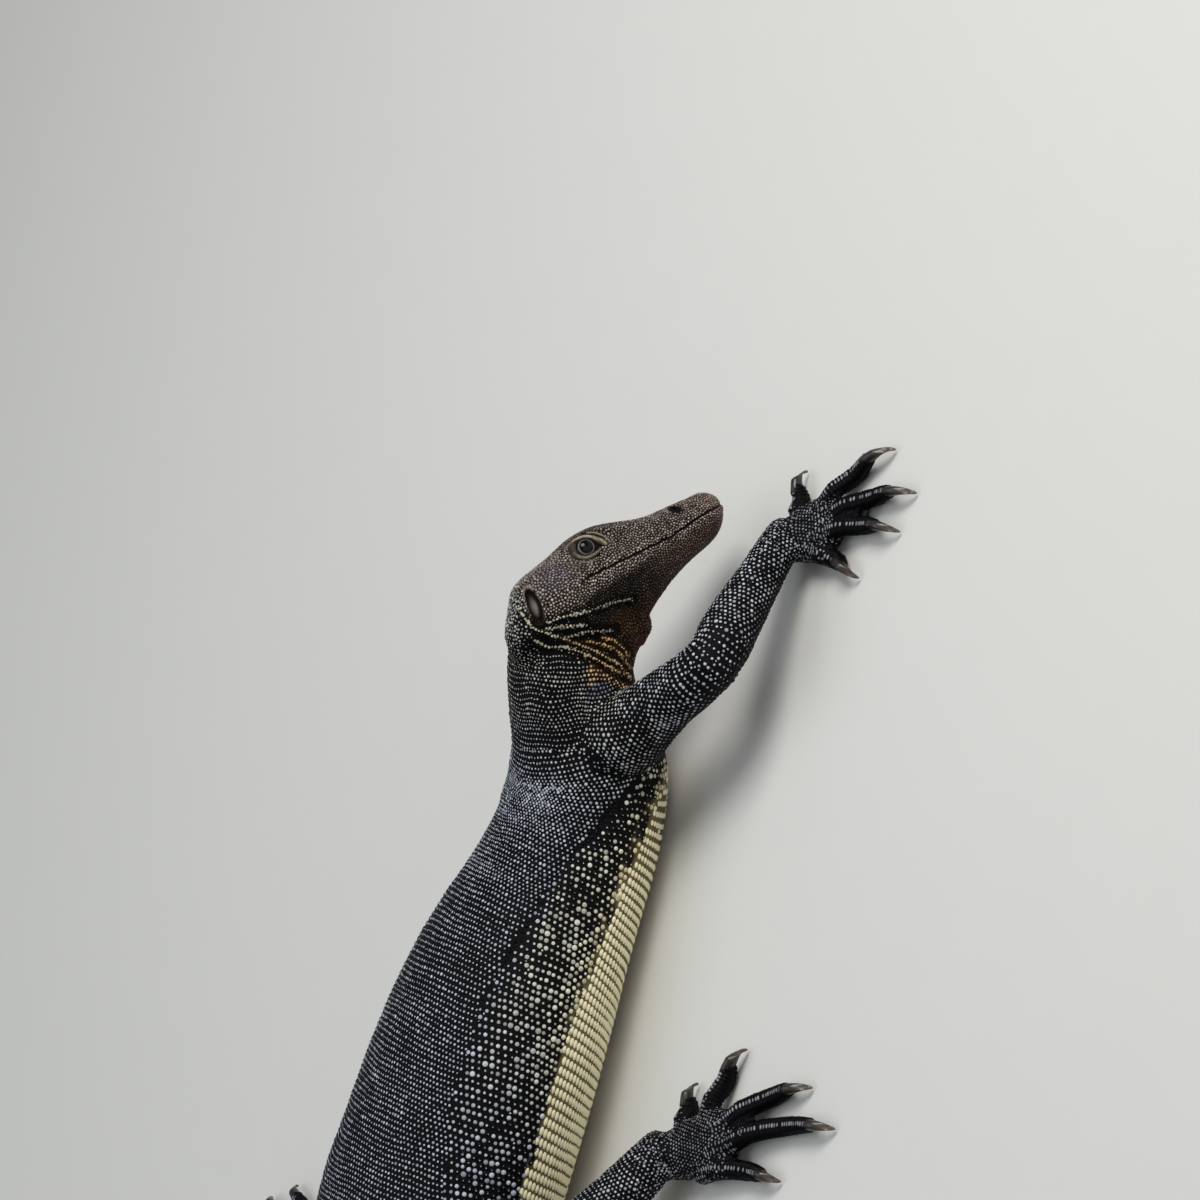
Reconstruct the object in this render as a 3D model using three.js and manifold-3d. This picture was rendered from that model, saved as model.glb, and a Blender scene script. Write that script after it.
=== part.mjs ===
// A water monitor lizard, life size, lying on a flat floor with its right arm stretched forward
// and its head bent down.
// Millimetres. +X runs from tail to head, +Z is up, and -Y is the animal's right side.
// The origin is on the floor under the belly.
import * as THREE from "three";
import { mergeVertices } from "three/addons/utils/BufferGeometryUtils.js";
import Module from "manifold-3d";

const wasm = await Module();
wasm.setup();

// Driving dimensions
const partingGap = 0.3;
const headLength = 96; // snout tip to ear opening
const shoulderX = 130;
const hipX = -158;
const ventX = -198;
const tailLength = 830;
const bellyHalfWidth = 60;
const bellyHalfHeight = 46;
const floorSink = 0.6; // how far a round underside is pressed flat by the floor
const eyeRadius = 6.2;
const limbHeight = 42; // hip and shoulder joints above the floor

// How the head hangs on the neck: turned to its right, bent down and rolled
const headYaw = THREE.MathUtils.degToRad(-18);
const headPitch = THREE.MathUtils.degToRad(46);
const headRoll = THREE.MathUtils.degToRad(-33);
const earLine = new THREE.Vector3(173.3, 0, 91.8); // between the ears

const skinDark = new THREE.MeshStandardMaterial({ color: 0x1d1e22, roughness: 0.55, metalness: 0 });
const skinHead = new THREE.MeshStandardMaterial({ color: 0x4b413a, roughness: 0.6, metalness: 0 });
const clawHorn = new THREE.MeshStandardMaterial({ color: 0x35302c, roughness: 0.35, metalness: 0 });
const eyeGloss = new THREE.MeshStandardMaterial({ color: 0x14100d, roughness: 0.08, metalness: 0 });

const point = (at) => new THREE.Vector3(...at);
const mix = THREE.MathUtils.lerp;
const smooth = THREE.MathUtils.smoothstep;
const bump = (value, middle, reach) => Math.exp(-(((value - middle) / reach) ** 2));

// A geometry as a closed solid, and back
function solidOf(geometry) {
  const bare = geometry.clone();
  bare.deleteAttribute("normal");
  bare.deleteAttribute("uv");
  const merged = mergeVertices(bare, 1e-4);
  return new wasm.Manifold(
    new wasm.Mesh({
      numProp: 3,
      vertProperties: merged.attributes.position.array,
      triVerts: new Uint32Array(merged.index.array),
    }),
  );
}

function geometryOf(solid) {
  const mesh = solid.getMesh();
  const geometry = new THREE.BufferGeometry();
  geometry.setAttribute("position", new THREE.BufferAttribute(new Float32Array(mesh.vertProperties), 3));
  geometry.setIndex(new THREE.BufferAttribute(new Uint32Array(mesh.triVerts), 1));
  return geometry;
}

const join = (solids) => solids.reduce((sum, solid) => sum.add(solid));
const largest = (solid) => solid.decompose().reduce((a, b) => (b.volume() > a.volume() ? b : a));

const smoothCurve = (places) => new THREE.CatmullRomCurve3(places.map(point), false, "catmullrom", 0.5);

// A closed tube through stations of a body. Each station has its centre, and its half sizes to the
// side, up and down. The grid of a sphere is laid along the smooth curve through the centres, so both
// ends close in a pole.
function sweep(stations, shape) {
  const { rings, sides, caps = [0, 0], power = [2, 2], bunch = 0.35, grow = 0, relief = null } = shape;
  const centres = smoothCurve(stations.map((s) => s.at));
  const halves = smoothCurve(stations.map((s) => s.half));
  const tilts = smoothCurve(stations.map((s) => [s.roll ?? 0, 0, 0]));
  const length = centres.getLength();
  const geometry = new THREE.SphereGeometry(1, sides, rings);
  const grid = geometry.attributes.position;
  const place = new THREE.Vector3();
  for (let ring = 0; ring <= rings; ring += 1) {
    const even = ring / rings;
    const t = mix(even, 0.5 - 0.5 * Math.cos(Math.PI * even), bunch);
    const centre = centres.getPoint(t);
    const along = centres.getTangent(t);
    const level = new THREE.Vector3(0, 0, 1).cross(along).normalize();
    const left = level.applyAxisAngle(along, tilts.getPoint(t).x);
    const up = along.clone().cross(left);
    const half = halves.getPoint(t);
    const toEnd = [caps[0] ? (t * length) / caps[0] : 1, caps[1] ? ((1 - t) * length) / caps[1] : 1];
    const round = toEnd.map((d) => Math.sqrt(1 - (1 - Math.min(1, d)) ** 2)).reduce((a, b) => a * b);
    for (let side = 0; side <= sides; side += 1) {
      const angle = ((side % sides) / sides) * 2 * Math.PI;
      const c = -Math.cos(angle);
      const s = Math.sin(angle);
      const bend = 2 / (s > 0 ? power[0] : power[1]);
      const extra = grow + (relief ? relief(centre.x, Math.abs(c), s) : 0);
      const across = Math.sign(c) * Math.abs(c) ** bend * round * (half.x + extra);
      const high = Math.sign(s) * Math.abs(s) ** bend * round * ((s > 0 ? half.y : half.z) + extra);
      const pole = ring === 0 || ring === rings ? 0 : 1;
      place.copy(centre).addScaledVector(left, across * pole).addScaledVector(up, high * pole);
      grid.setXYZ(ring * (sides + 1) + side, place.x, place.y, place.z);
    }
  }
  return geometry;
}

// An ellipsoid at a place, with its half sizes along, across and up
function blob(at, half, turn = [0, 0, 0], detail = [16, 10]) {
  const geometry = new THREE.SphereGeometry(1, ...detail);
  geometry.scale(...half);
  geometry.applyMatrix4(new THREE.Matrix4().makeRotationFromEuler(new THREE.Euler(...turn)));
  geometry.translate(...at);
  return geometry;
}

// The turn from upright to a direction
function turnTo(direction) {
  return new THREE.Quaternion().setFromUnitVectors(new THREE.Vector3(0, 0, 1), direction.clone().normalize());
}

// A thin square plate at a place, facing along a direction: it parts two neighbours
function parting(at, facing, reach, thickness = partingGap) {
  const geometry = new THREE.BoxGeometry(2 * reach, 2 * reach, thickness);
  geometry.applyQuaternion(turnTo(point(facing)));
  geometry.translate(...at);
  return solidOf(geometry);
}

const floorBlock = solidOf(new THREE.BoxGeometry(4000, 2000, 100).translate(0, 0, -50));
const headMatrix = new THREE.Matrix4()
  .makeRotationFromEuler(new THREE.Euler(headRoll, headPitch, headYaw, "ZYX"))
  .setPosition(earLine);
const inHead = (geometry) => geometry.applyMatrix4(headMatrix);

// Torso: hips, a wide low belly that rests on the floor, and a narrower chest
function onFloor(x, side, up, down, y = 0) {
  return { at: [x, y, down - floorSink], half: [side, up, down] };
}
const torsoStations = [
  onFloor(ventX - 30, 20.5, 23.5, 23),
  onFloor(ventX - 4, 27, 27, 26),
  onFloor(hipX - 4, 38, 33, 30),
  onFloor(hipX + 28, 50, 41, 38),
  onFloor(-98, bellyHalfWidth, bellyHalfHeight + 1, bellyHalfHeight - 1),
  onFloor(-60, bellyHalfWidth, bellyHalfHeight, bellyHalfHeight - 1),
  onFloor(-18, 57.5, 45.5, 43.5),
  onFloor(22, 52, 43, 40),
  onFloor(58, 44.5, 38, 34),
  onFloor(88, 40, 35, 32),
  { at: [116, 0, 38], half: [36, 32, 33] },
  { at: [140, 0, 50], half: [28, 26, 27] },
];
const torsoShape = { rings: 31, sides: 26, caps: [10, 14], power: [2, 2.25] };

// Neck: rises from the chest and ends inside the head, where its underside is the loose throat
const neckStations = [
  { at: [92, 0, 34], half: [34, 30, 29] },
  { at: [112, 0, 36.5], half: [34, 32, 30] },
  { at: [133, 0, 50], half: [29, 28, 28] },
  { at: [152, -0.5, 59.5], half: [27, 27, 27.5], roll: -0.08 },
  { at: [167, -1.5, 63.5], half: [25.5, 26, 28.5], roll: -0.18 },
  { at: [179, -4, 61.5], half: [22, 21, 28], roll: -0.28 },
  { at: [189, -6.5, 58.5], half: [17, 16, 24], roll: -0.34 },
  { at: [199, -9, 55], half: [12, 12, 18], roll: -0.4 },
];
const foldPitch = 11;
const foldDepth = 1.2;
function throatFolds(x, c, s) {
  const underside = smooth(0.6 - s, 0, 0.7);
  const slant = x - 13 * s;
  return foldDepth * underside * bump(x, 160, 20) * Math.sin((slant / foldPitch) * 2 * Math.PI);
}
const neckShape = { rings: 30, sides: 22, caps: [12, 15], power: [2, 2], bunch: 0.1, relief: throatFolds };

// Head, in its own frame: x from the ear line to the snout tip, z up from the mouth line.
// Each station gives its place, half width, top, underside and the height where it is widest.
function headStation(x, side, top, under, widest) {
  return { at: [x, 0, widest], half: [side, top - widest, widest - under] };
}
const headStations = [
  headStation(-13, 6.5, -19, -30, -24),
  headStation(-5, 14.5, -6, -34, -15),
  headStation(4, 21, 4.4, -33.5, -8),
  headStation(13, 24, 9.4, -33, -5),
  headStation(22, 23, 12.2, -31.5, -3),
  headStation(31, 20.4, 15.2, -29.5, -1.5),
  headStation(40, 17.8, 15.8, -27, -1),
  headStation(50, 15.6, 13.5, -23.6, -1),
  headStation(62, 13.5, 10.2, -19, -1),
  headStation(74, 12, 9.8, -15.2, -1),
  headStation(86, 10.3, 9.1, -11.6, -1),
  headStation(headLength, 7.4, 5, -6.2, -1),
];
// The forms of the skull under the skin, each at its place along the head and round it
const skullForms = [
  { x: 36, reach: 12, c: 0.66, s: 0.75, spread: 0.3, height: 2.4 }, // brow over the eye
  { x: 52, reach: 14, c: 0.75, s: 0.66, spread: 0.22, height: 0.9 }, // ridge from brow to nostril
  { x: 47, reach: 9, c: 0.97, s: 0.25, spread: 0.3, height: -1.0 }, // hollow in front of the eye
  { x: 13, reach: 13, c: 0.7, s: 0.71, spread: 0.35, height: 1.2 }, // temple
  { x: 21, reach: 7, c: 0.9, s: 0.43, spread: 0.25, height: -1.0 }, // hollow behind the eye
  { x: 13, reach: 14, c: 0.95, s: -0.3, spread: 0.45, height: 1.8 }, // jaw muscle
  { x: 62, reach: 30, c: 0.99, s: 0.12, spread: 0.16, height: 0.7 }, // upper lip
  { x: 60, reach: 28, c: 0.97, s: -0.24, spread: 0.16, height: 0.7 }, // lower lip
  { x: 75, reach: 7, c: 0.75, s: 0.66, spread: 0.3, height: 0.8 }, // swelling round the nostril
];
function skullRelief(x, c, s) {
  return skullForms.reduce((sum, form) => {
    const around = Math.hypot(c - form.c, s - form.s);
    return sum + form.height * bump(x, form.x, form.reach) * bump(around, 0, form.spread);
  }, 0);
}
const headShape = { rings: 36, sides: 24, caps: [12, 9], power: [2.3, 2], bunch: 0.25, relief: skullRelief };
const eyeAt = [31, 13.6, 7.4];
const eyeLook = [0.16, 1, 0.22];
const lidAt = [31.2, 17.8, 8.2];
const nostrilAt = [75, 8.4, 7];
const earAt = [0.8, 19.4, -4.4];
const jawBack = 25;
const mouthLine = [
  [jawBack, -3.2],
  [68, -2.6],
  [82, -0.2],
  [headLength + 6, 1.2],
];

// The eye, its lids, the nostril and the ear are the same on both sides
const sides = [-1, 1];
const onBothSides = (make) => sides.map((side) => solidOf(inHead(make(side))));
const mirrored = (at, side) => [at[0], at[1] * side, at[2]];
function eyeBall(side, radius) {
  const ball = new THREE.SphereGeometry(radius, 12, 9);
  return solidOf(inHead(ball.translate(...mirrored(eyeAt, side))));
}
const nostrilPits = onBothSides((side) =>
  blob(mirrored(nostrilAt, side), [2.7, 1.5, 2], [-0.75 * side, 0.3, -0.2 * side], [10, 6]),
);
const earPits = onBothSides((side) => blob(mirrored(earAt, side), [3, 3, 7.2], [0, 0.1, 0], [10, 8]));

// A lid is a low ring round the eye, longer than it is high, that faces the way the eye looks
const eyeLids = onBothSides((side) => {
  const ring = new THREE.TorusGeometry(4.7, 1.25, 6, 18);
  ring.applyQuaternion(turnTo(point(mirrored(eyeLook, side))));
  ring.scale(1.45, 1, 1);
  return ring.translate(...mirrored(lidAt, side));
});

// Tail: flat from side to side, laid on the floor in a long easy curve
const tailHalfWidth = 24;
const tailHalfHeight = 26;
const tailSwing = 42;
const tailStationCount = 13;
function tailStation(index) {
  const share = index / (tailStationCount - 1);
  const slim = 1 - share;
  const side = tailHalfWidth * (0.9 * slim ** 1.25 + 0.045);
  const high = tailHalfHeight * (0.92 * slim ** 0.95 + 0.05);
  const y = tailSwing * Math.sin(share * 2 * Math.PI * 0.92) * smooth(share, 0, 0.3);
  const x = ventX + 24 - share * (tailLength - 22);
  return { at: [x, y, high - floorSink * 0.7], half: [side, high, high] };
}
const tailStations = Array.from({ length: tailStationCount }, (_, index) => tailStation(index));
const tailShape = { rings: 42, sides: 12, caps: [6, 4], power: [1.75, 2.05], bunch: 0.1 };

// Limbs. Each joint has its place, and the palm or sole its heading in degrees from +X, turned to the outside
const arms = {
  right: { joints: [[shoulderX, -29, limbHeight], [171, -78, 41], [230, -60, 14]], heading: 58 },
  left: { joints: [[shoulderX, 29, limbHeight], [72, 55, 26], [122, 90, 13.5]], heading: 52 },
};
const legs = {
  right: { joints: [[hipX, -24, limbHeight], [-97, -88, 43], [-26, -108, 15]], heading: 60 },
  left: { joints: [[hipX, 26, limbHeight], [-124, 92, 39], [-174, 131, 15]], heading: 65 },
};
const round3 = (r) => [r, r, r];
function between(a, b, share, lift = 0) {
  return [mix(a[0], b[0], share), mix(a[1], b[1], share), mix(a[2], b[2], share) + lift];
}
function armStations([shoulder, elbow, wrist]) {
  return [
    { at: [mix(shoulder[0], elbow[0], -0.2), shoulder[1] * 0.3, shoulder[2] + 1], half: round3(17) },
    { at: shoulder, half: [18, 17.5, 17.5] },
    { at: between(shoulder, elbow, 0.5, 0.5), half: round3(13.6) },
    { at: elbow, half: round3(12.4) },
    { at: between(elbow, wrist, 0.3, 0.5), half: round3(12.2) },
    { at: between(elbow, wrist, 0.66), half: [10.2, 10, 10] },
    { at: wrist, half: [9.4, 8, 8.4] },
    { at: between(elbow, wrist, 1.16, 1.5), half: [7.6, 5, 5.5] },
  ];
}
function legStations([hip, knee, ankle]) {
  return [
    { at: [hip[0] - 10, hip[1] * 0.2, hip[2]], half: round3(24) },
    { at: hip, half: [24, 23, 23] },
    { at: between(hip, knee, 0.45, 1), half: [20.5, 20, 19] },
    { at: between(hip, knee, 0.8, 1), half: round3(16.5) },
    { at: knee, half: round3(14.6) },
    { at: between(knee, ankle, 0.3), half: [15.6, 15, 15] },
    { at: between(knee, ankle, 0.68), half: [11.8, 11.6, 11.6] },
    { at: ankle, half: [10.4, 9, 9.4] },
    { at: between(knee, ankle, 1.14, 2), half: [8, 5, 6] },
  ];
}

// Digits from the inner one to the outer one: the angle from the palm's heading, the length of flesh,
// the length of claw, and where each leaves the palm, along and across it. Outwards is positive.
const handDigits = [
  { angle: -96, length: 19, claw: 10, root: [4, -8.5] },
  { angle: -16, length: 35, claw: 14, root: [18, -7.5] },
  { angle: 8, length: 42, claw: 15, root: [22, -1.5] },
  { angle: 18, length: 34, claw: 14, root: [21, 5] },
  { angle: 38, length: 22, claw: 11, root: [12, 10] },
];
const footDigits = [
  { angle: -90, length: 15, claw: 8, root: [8, -9.5] },
  { angle: -56, length: 25, claw: 10, root: [24, -10] },
  { angle: -7, length: 44, claw: 12, root: [34, -4] },
  { angle: 5, length: 58, claw: 13, root: [34, 4] },
  { angle: 14, length: 40, claw: 10, root: [20, 11.5] },
];
const handSize = { palm: [15, 6.4], reach: 22, digitRadius: 4.5, tipHeight: 6.6 };
const footSize = { palm: [14.5, 7], reach: 34, digitRadius: 4.7, tipHeight: 5.9 };
const digitCurl = THREE.MathUtils.degToRad(26); // how far a digit turns outwards along its length
const clawHook = THREE.MathUtils.degToRad(88);
const clawRise = THREE.MathUtils.degToRad(14);

// A palm's frame: its start, where it heads on the floor, and the way to the outside of the animal
function palmFrame(start, heading, side) {
  const turn = THREE.MathUtils.degToRad(heading) * side;
  const along = [Math.cos(turn), Math.sin(turn)];
  return { start, turn, side, along, out: [-along[1] * side, along[0] * side] };
}
function onPalm({ start, along, out }, [ahead, across], z) {
  return [start[0] + along[0] * ahead + out[0] * across, start[1] + along[1] * ahead + out[1] * across, z];
}
function palmStations(frame, { palm, reach }) {
  const [wide, high] = palm;
  return [
    { at: onPalm(frame, [-7, 0], frame.start[2] - 1), half: [8, 7, 7] },
    { at: onPalm(frame, [2, 0], 10), half: [10, 7.4, 9] },
    { at: onPalm(frame, [reach * 0.5, 0], high + 1), half: [wide * 0.92, high + 0.4, high + 1 + floorSink] },
    { at: onPalm(frame, [reach, 0], high - 0.6), half: [wide * 0.9, high - 0.2, high - 0.6 + floorSink] },
    { at: onPalm(frame, [reach + 7, 0], high - 1.6), half: [wide * 0.66, high - 2, high - 1.6] },
  ];
}

// A digit arches over its knuckle, presses its pad on the floor and lifts its tip to the claw, curling
// outwards
function digitPath(frame, digit, size) {
  const start = onPalm(frame, digit.root, 0);
  const first = frame.turn + (THREE.MathUtils.degToRad(digit.angle) - digitCurl * 0.5) * frame.side;
  const curl = (digitCurl * frame.side) / digit.length;
  const at = (share, z) => {
    const run = share * digit.length;
    const x = (Math.sin(first + curl * run) - Math.sin(first)) / curl;
    const y = (Math.cos(first) - Math.cos(first + curl * run)) / curl;
    return [start[0] + x, start[1] + y, z];
  };
  const r = size.digitRadius;
  const stations = [
    { at: at(-0.16, r + 1.2), half: round3(r * 0.9) },
    { at: at(0.06, r + 1.8), half: [r, r, r] },
    { at: at(0.34, r + 2.6), half: [r * 0.96, r * 0.98, r * 0.9] },
    { at: at(0.62, r - 0.1), half: [r * 0.92, r * 0.84, r - 0.1 + floorSink] },
    { at: at(0.84, size.tipHeight - 1.2), half: [r * 0.8, r * 0.86, r * 0.84] },
    { at: at(1.0, size.tipHeight), half: [r * 0.64, r * 0.7, r * 0.68] },
    { at: at(1.1, size.tipHeight + 0.3), half: round3(r * 0.4) },
  ];
  return { stations, tip: at(1, size.tipHeight), turn: first + curl * digit.length };
}

// A claw starts inside the toe's end, rises a little and hooks down, its point just above the floor
function clawStations({ tip, turn }, { claw }, size) {
  const radius = claw / clawHook;
  const thick = size.digitRadius * 0.54;
  const fall = radius * (Math.cos(clawRise) - Math.cos(clawRise - clawHook));
  const steepness = (size.tipHeight - 1.1) / fall;
  const root = [tip[0] - 2.5 * Math.cos(turn), tip[1] - 2.5 * Math.sin(turn), tip[2] - 0.6];
  const hook = [0, 0.25, 0.5, 0.75, 1].map((share) => {
    const angle = clawRise - clawHook * share;
    const out = radius * (Math.sin(clawRise) - Math.sin(angle));
    const rise = radius * (Math.cos(angle) - Math.cos(clawRise)) * steepness;
    const slim = (1 - share) ** 0.75;
    return {
      at: [tip[0] + Math.cos(turn) * out, tip[1] + Math.sin(turn) * out, tip[2] + rise],
      half: [thick * mix(0.1, 0.8, slim), thick * mix(0.12, 1, slim), thick * mix(0.12, 1.05, slim)],
    };
  });
  return [{ at: root, half: round3(thick * 0.8) }, ...hook];
}
const limbShape = { rings: 16, sides: 12, caps: [10, 4], bunch: 0.1 };
const palmShape = { rings: 7, sides: 10, caps: [7, 8], power: [2.2, 2.6], bunch: 0.3 };
const digitShape = { rings: 9, sides: 7, caps: [3, 3], bunch: 0.1 };
const clawShape = { rings: 5, sides: 6, bunch: 0 };

// Head, neck, torso and tail are one form, hollowed for the eyes, ears and nostrils, and parted by thin cuts
const headForm = join([solidOf(inHead(sweep(headStations, headShape))), ...eyeLids]);
const sockets = sides.map((side) => eyeBall(side, eyeRadius + partingGap));
const neckForm = solidOf(sweep(neckStations, neckShape));
const torsoForm = solidOf(sweep(torsoStations, torsoShape));
const tailForm = solidOf(sweep(tailStations, tailShape));
const hollows = join([...sockets, ...earPits, ...nostrilPits, floorBlock]);
const bodyWhole = join([headForm, neckForm, torsoForm, tailForm]).subtract(hollows);

const tailCurve = smoothCurve(tailStations.map((s) => s.at));
const alongTail = (share) => tailCurve.getPoint(share).toArray();
const tailFacing = (share) => tailCurve.getTangent(share).toArray();
const tailCuts = [0.27, 0.5, 0.74].map((share) => parting(alongTail(share), tailFacing(share), 40));
const bodyCuts = [
  parting([169, 0, 60], [0.918, 0, 0.396], 54), // nape
  parting([114, 0, 38], [0.94, 0, 0.34], 60), // base of the neck
  parting([ventX - 8, 0, 26], [1, 0, 0], 60), // behind the vent
  ...tailCuts,
];

// The mouth line from the jaw's end to the snout, and the jaw's end down to the throat
const mouthCuts = mouthLine.slice(1).map(([x, z], index) => {
  const [fromX, fromZ] = mouthLine[index];
  const slope = Math.atan2(z - fromZ, x - fromX);
  const plate = new THREE.BoxGeometry(Math.hypot(x - fromX, z - fromZ) + partingGap, 80, partingGap);
  return solidOf(inHead(plate.rotateY(-slope).translate((x + fromX) / 2, 0, (z + fromZ) / 2)));
});
const jawDepth = 36;
const jawPlate = new THREE.BoxGeometry(partingGap, 80, jawDepth);
const jawTop = mouthLine[0][1] + partingGap / 2;
const jawCut = solidOf(inHead(jawPlate.translate(jawBack, 0, jawTop - jawDepth / 2)));
const bodyPieces = bodyWhole.subtract(join([...bodyCuts, ...mouthCuts, jawCut])).decompose();

// The piece that holds a given place
function pieceAt(pieces, at) {
  const probe = solidOf(blob(at, round3(1), [0, 0, 0], [6, 4]));
  return pieces.find((piece) => piece.intersect(probe).volume() > 1);
}

// A node's mesh sits at the middle of its own bounds
function addNode(parent, name, solid, material) {
  const geometry = geometryOf(solid);
  geometry.computeBoundingBox();
  const middle = geometry.boundingBox.getCenter(new THREE.Vector3());
  geometry.translate(-middle.x, -middle.y, -middle.z);
  const mesh = new THREE.Mesh(geometry, material.clone());
  mesh.name = name;
  mesh.position.copy(middle);
  parent.add(mesh);
}

const lizard = new THREE.Group();
const headGroup = new THREE.Group();
const tailGroup = new THREE.Group();
lizard.add(headGroup, tailGroup);
const inHeadPlace = (at) => point(at).applyMatrix4(headMatrix).toArray();
addNode(headGroup, "head", pieceAt(bodyPieces, inHeadPlace([30, 0, 8])), skinHead);
addNode(headGroup, "lower_jaw", pieceAt(bodyPieces, inHeadPlace([60, 0, -6])), skinHead);
addNode(headGroup, "eye_right", eyeBall(-1, eyeRadius), eyeGloss);
addNode(headGroup, "eye_left", eyeBall(1, eyeRadius), eyeGloss);
addNode(lizard, "neck", pieceAt(bodyPieces, [140, 0, 52]), skinDark);
addNode(lizard, "torso", pieceAt(bodyPieces, [0, 0, 40]), skinDark);
addNode(tailGroup, "tail_base", pieceAt(bodyPieces, alongTail(0.15)), skinDark);
addNode(tailGroup, "tail_front", pieceAt(bodyPieces, alongTail(0.38)), skinDark);
addNode(tailGroup, "tail_rear", pieceAt(bodyPieces, alongTail(0.62)), skinDark);
addNode(tailGroup, "tail_tip", pieceAt(bodyPieces, alongTail(0.82)), skinDark);

// A limb ends a parting gap short of the body's surface, and is parted at its elbow or knee, its wrist
// or ankle, and its claws
const bodyGrown = join([
  solidOf(sweep(torsoStations, { ...torsoShape, grow: partingGap })),
  solidOf(sweep(neckStations, { ...neckShape, grow: partingGap })),
]);
function addLimb({ side, limb, stations, names, digits, size, clawName }) {
  const [root, bend, end] = limb.joints;
  const frame = palmFrame(end, limb.heading, side === "right" ? -1 : 1);
  const paths = digits.map((digit) => digitPath(frame, digit, size));
  const facings = paths.map(({ turn }) => point([Math.cos(turn), Math.sin(turn), 0.25]).normalize());
  const ahead = (index, distance) =>
    point(paths[index].tip).addScaledVector(facings[index], distance).toArray();
  const upper = point(bend).sub(point(root)).normalize();
  const lower = point(end).sub(point(bend)).normalize();
  const wristFacing = lower.clone().add(point([...frame.along, 0])).toArray();
  const flesh = join([
    solidOf(sweep(stations, limbShape)),
    solidOf(sweep(palmStations(frame, size), palmShape)),
    ...paths.map((path) => solidOf(sweep(path.stations, digitShape))),
  ]);
  const cuts = join([
    parting(bend, upper.add(lower).toArray(), 30),
    parting(between(bend, end, 0.9), wristFacing, 22),
    ...facings.map((facing, index) => parting(ahead(index, 5), facing.toArray(), 7, 10)),
  ]);
  const pieces = flesh.subtract(join([floorBlock, bodyGrown, cuts])).decompose();
  const inPalm = onPalm(frame, [size.reach * 0.6, 0], size.palm[1]);
  const middles = [between(root, bend, 0.75), between(bend, end, 0.5), inPalm];
  const limbGroup = new THREE.Group();
  lizard.add(limbGroup);
  names.forEach((name, index) => {
    addNode(limbGroup, `${name}_${side}`, pieceAt(pieces, middles[index]), skinDark);
  });
  paths.forEach((path, index) => {
    const claw = solidOf(sweep(clawStations(path, digits[index], size), clawShape));
    const toe = parting(ahead(index, -10 + partingGap), facings[index].toArray(), 9, 20);
    const horn = largest(claw.subtract(join([toe, floorBlock])));
    addNode(limbGroup, `${clawName}_${side}_${index + 1}`, horn, clawHorn);
  });
}
const armNames = { names: ["upper_arm", "forearm", "hand"], clawName: "finger_claw" };
const legNames = { names: ["thigh", "shank", "foot"], clawName: "toe_claw" };
for (const side of ["right", "left"]) {
  const arm = { ...armNames, digits: handDigits, size: handSize };
  const leg = { ...legNames, digits: footDigits, size: footSize };
  addLimb({ ...arm, side, limb: arms[side], stations: armStations(arms[side].joints) });
  addLimb({ ...leg, side, limb: legs[side], stations: legStations(legs[side].joints) });
}

export default lizard;
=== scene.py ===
import math
import bpy
import numpy as np
from mathutils import Euler, Matrix, Vector, noise
from mathutils.bvhtree import BVHTree
from mathutils.kdtree import KDTree


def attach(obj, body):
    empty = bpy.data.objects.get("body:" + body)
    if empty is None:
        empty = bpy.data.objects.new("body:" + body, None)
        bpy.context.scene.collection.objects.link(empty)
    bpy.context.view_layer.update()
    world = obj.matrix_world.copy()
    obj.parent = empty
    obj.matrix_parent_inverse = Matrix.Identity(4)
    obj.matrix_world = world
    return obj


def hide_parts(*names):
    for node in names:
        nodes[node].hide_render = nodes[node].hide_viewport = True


# A water monitor lizard, life size, on a plain floor. Sizes in the dictionaries are millimetres
# unless a note says otherwise. +X runs from tail to head, -Y is the animal's right side.
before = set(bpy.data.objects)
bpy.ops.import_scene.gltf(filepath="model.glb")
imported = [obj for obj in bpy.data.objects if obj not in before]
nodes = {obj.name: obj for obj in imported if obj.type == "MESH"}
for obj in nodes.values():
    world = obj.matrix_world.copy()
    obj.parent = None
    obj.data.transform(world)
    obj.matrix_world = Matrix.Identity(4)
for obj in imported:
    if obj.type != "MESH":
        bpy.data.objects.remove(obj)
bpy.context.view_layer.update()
mm = 0.001
dice = np.random.default_rng(11)
noise.seed_set(11)  # or the vector noise differs on each run

headPose = {"yaw": -18, "pitch": 46, "roll": -33, "between ears": (173.3, 0, 91.8)}
headTurn = Euler([math.radians(headPose[k]) for k in ("roll", "pitch", "yaw")], "XYZ").to_matrix()
headAxes = np.array(headTurn)
headPlace = np.array(headPose["between ears"])


def toHead(points):
    return (np.asarray(points) / mm - headPlace) @ headAxes


def fromHead(points):
    return (np.asarray(points) @ headAxes.T + headPlace) * mm


def unit(vectors):
    length = np.linalg.norm(vectors, axis=-1, keepdims=True)
    return vectors / np.maximum(length, 1e-12)


def smooth(value, low, high):
    share = np.clip((np.asarray(value, float) - low) / (high - low), 0, 1)
    return share * share * (3 - 2 * share)


def bump(value, middle, reach):
    return np.exp(-(((value - middle) / reach) ** 2))


def follow(value, line):
    # the height of a line of given points over a value
    return np.interp(value, *np.array(line, float).T)


def lineDistance(points, line):
    # how far each point is from a line of given points
    line = np.asarray(line, float)
    best = np.full(len(points), 1e9)
    for start, end in zip(line[:-1], line[1:]):
        way = end - start
        share = np.clip((points - start) @ way / (way @ way), 0, 1)
        best = np.minimum(best, np.linalg.norm(points - start - np.outer(share, way), axis=1))
    return best


def treeOf(points):
    tree = KDTree(len(points))
    for k, point in enumerate(points):
        tree.insert(point, k)
    tree.balance()
    return tree


def linear(red, green, blue):
    # a colour as a paint program shows it, made linear
    return np.array([(c / 255) ** 2.2 for c in (red, green, blue)])


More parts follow.
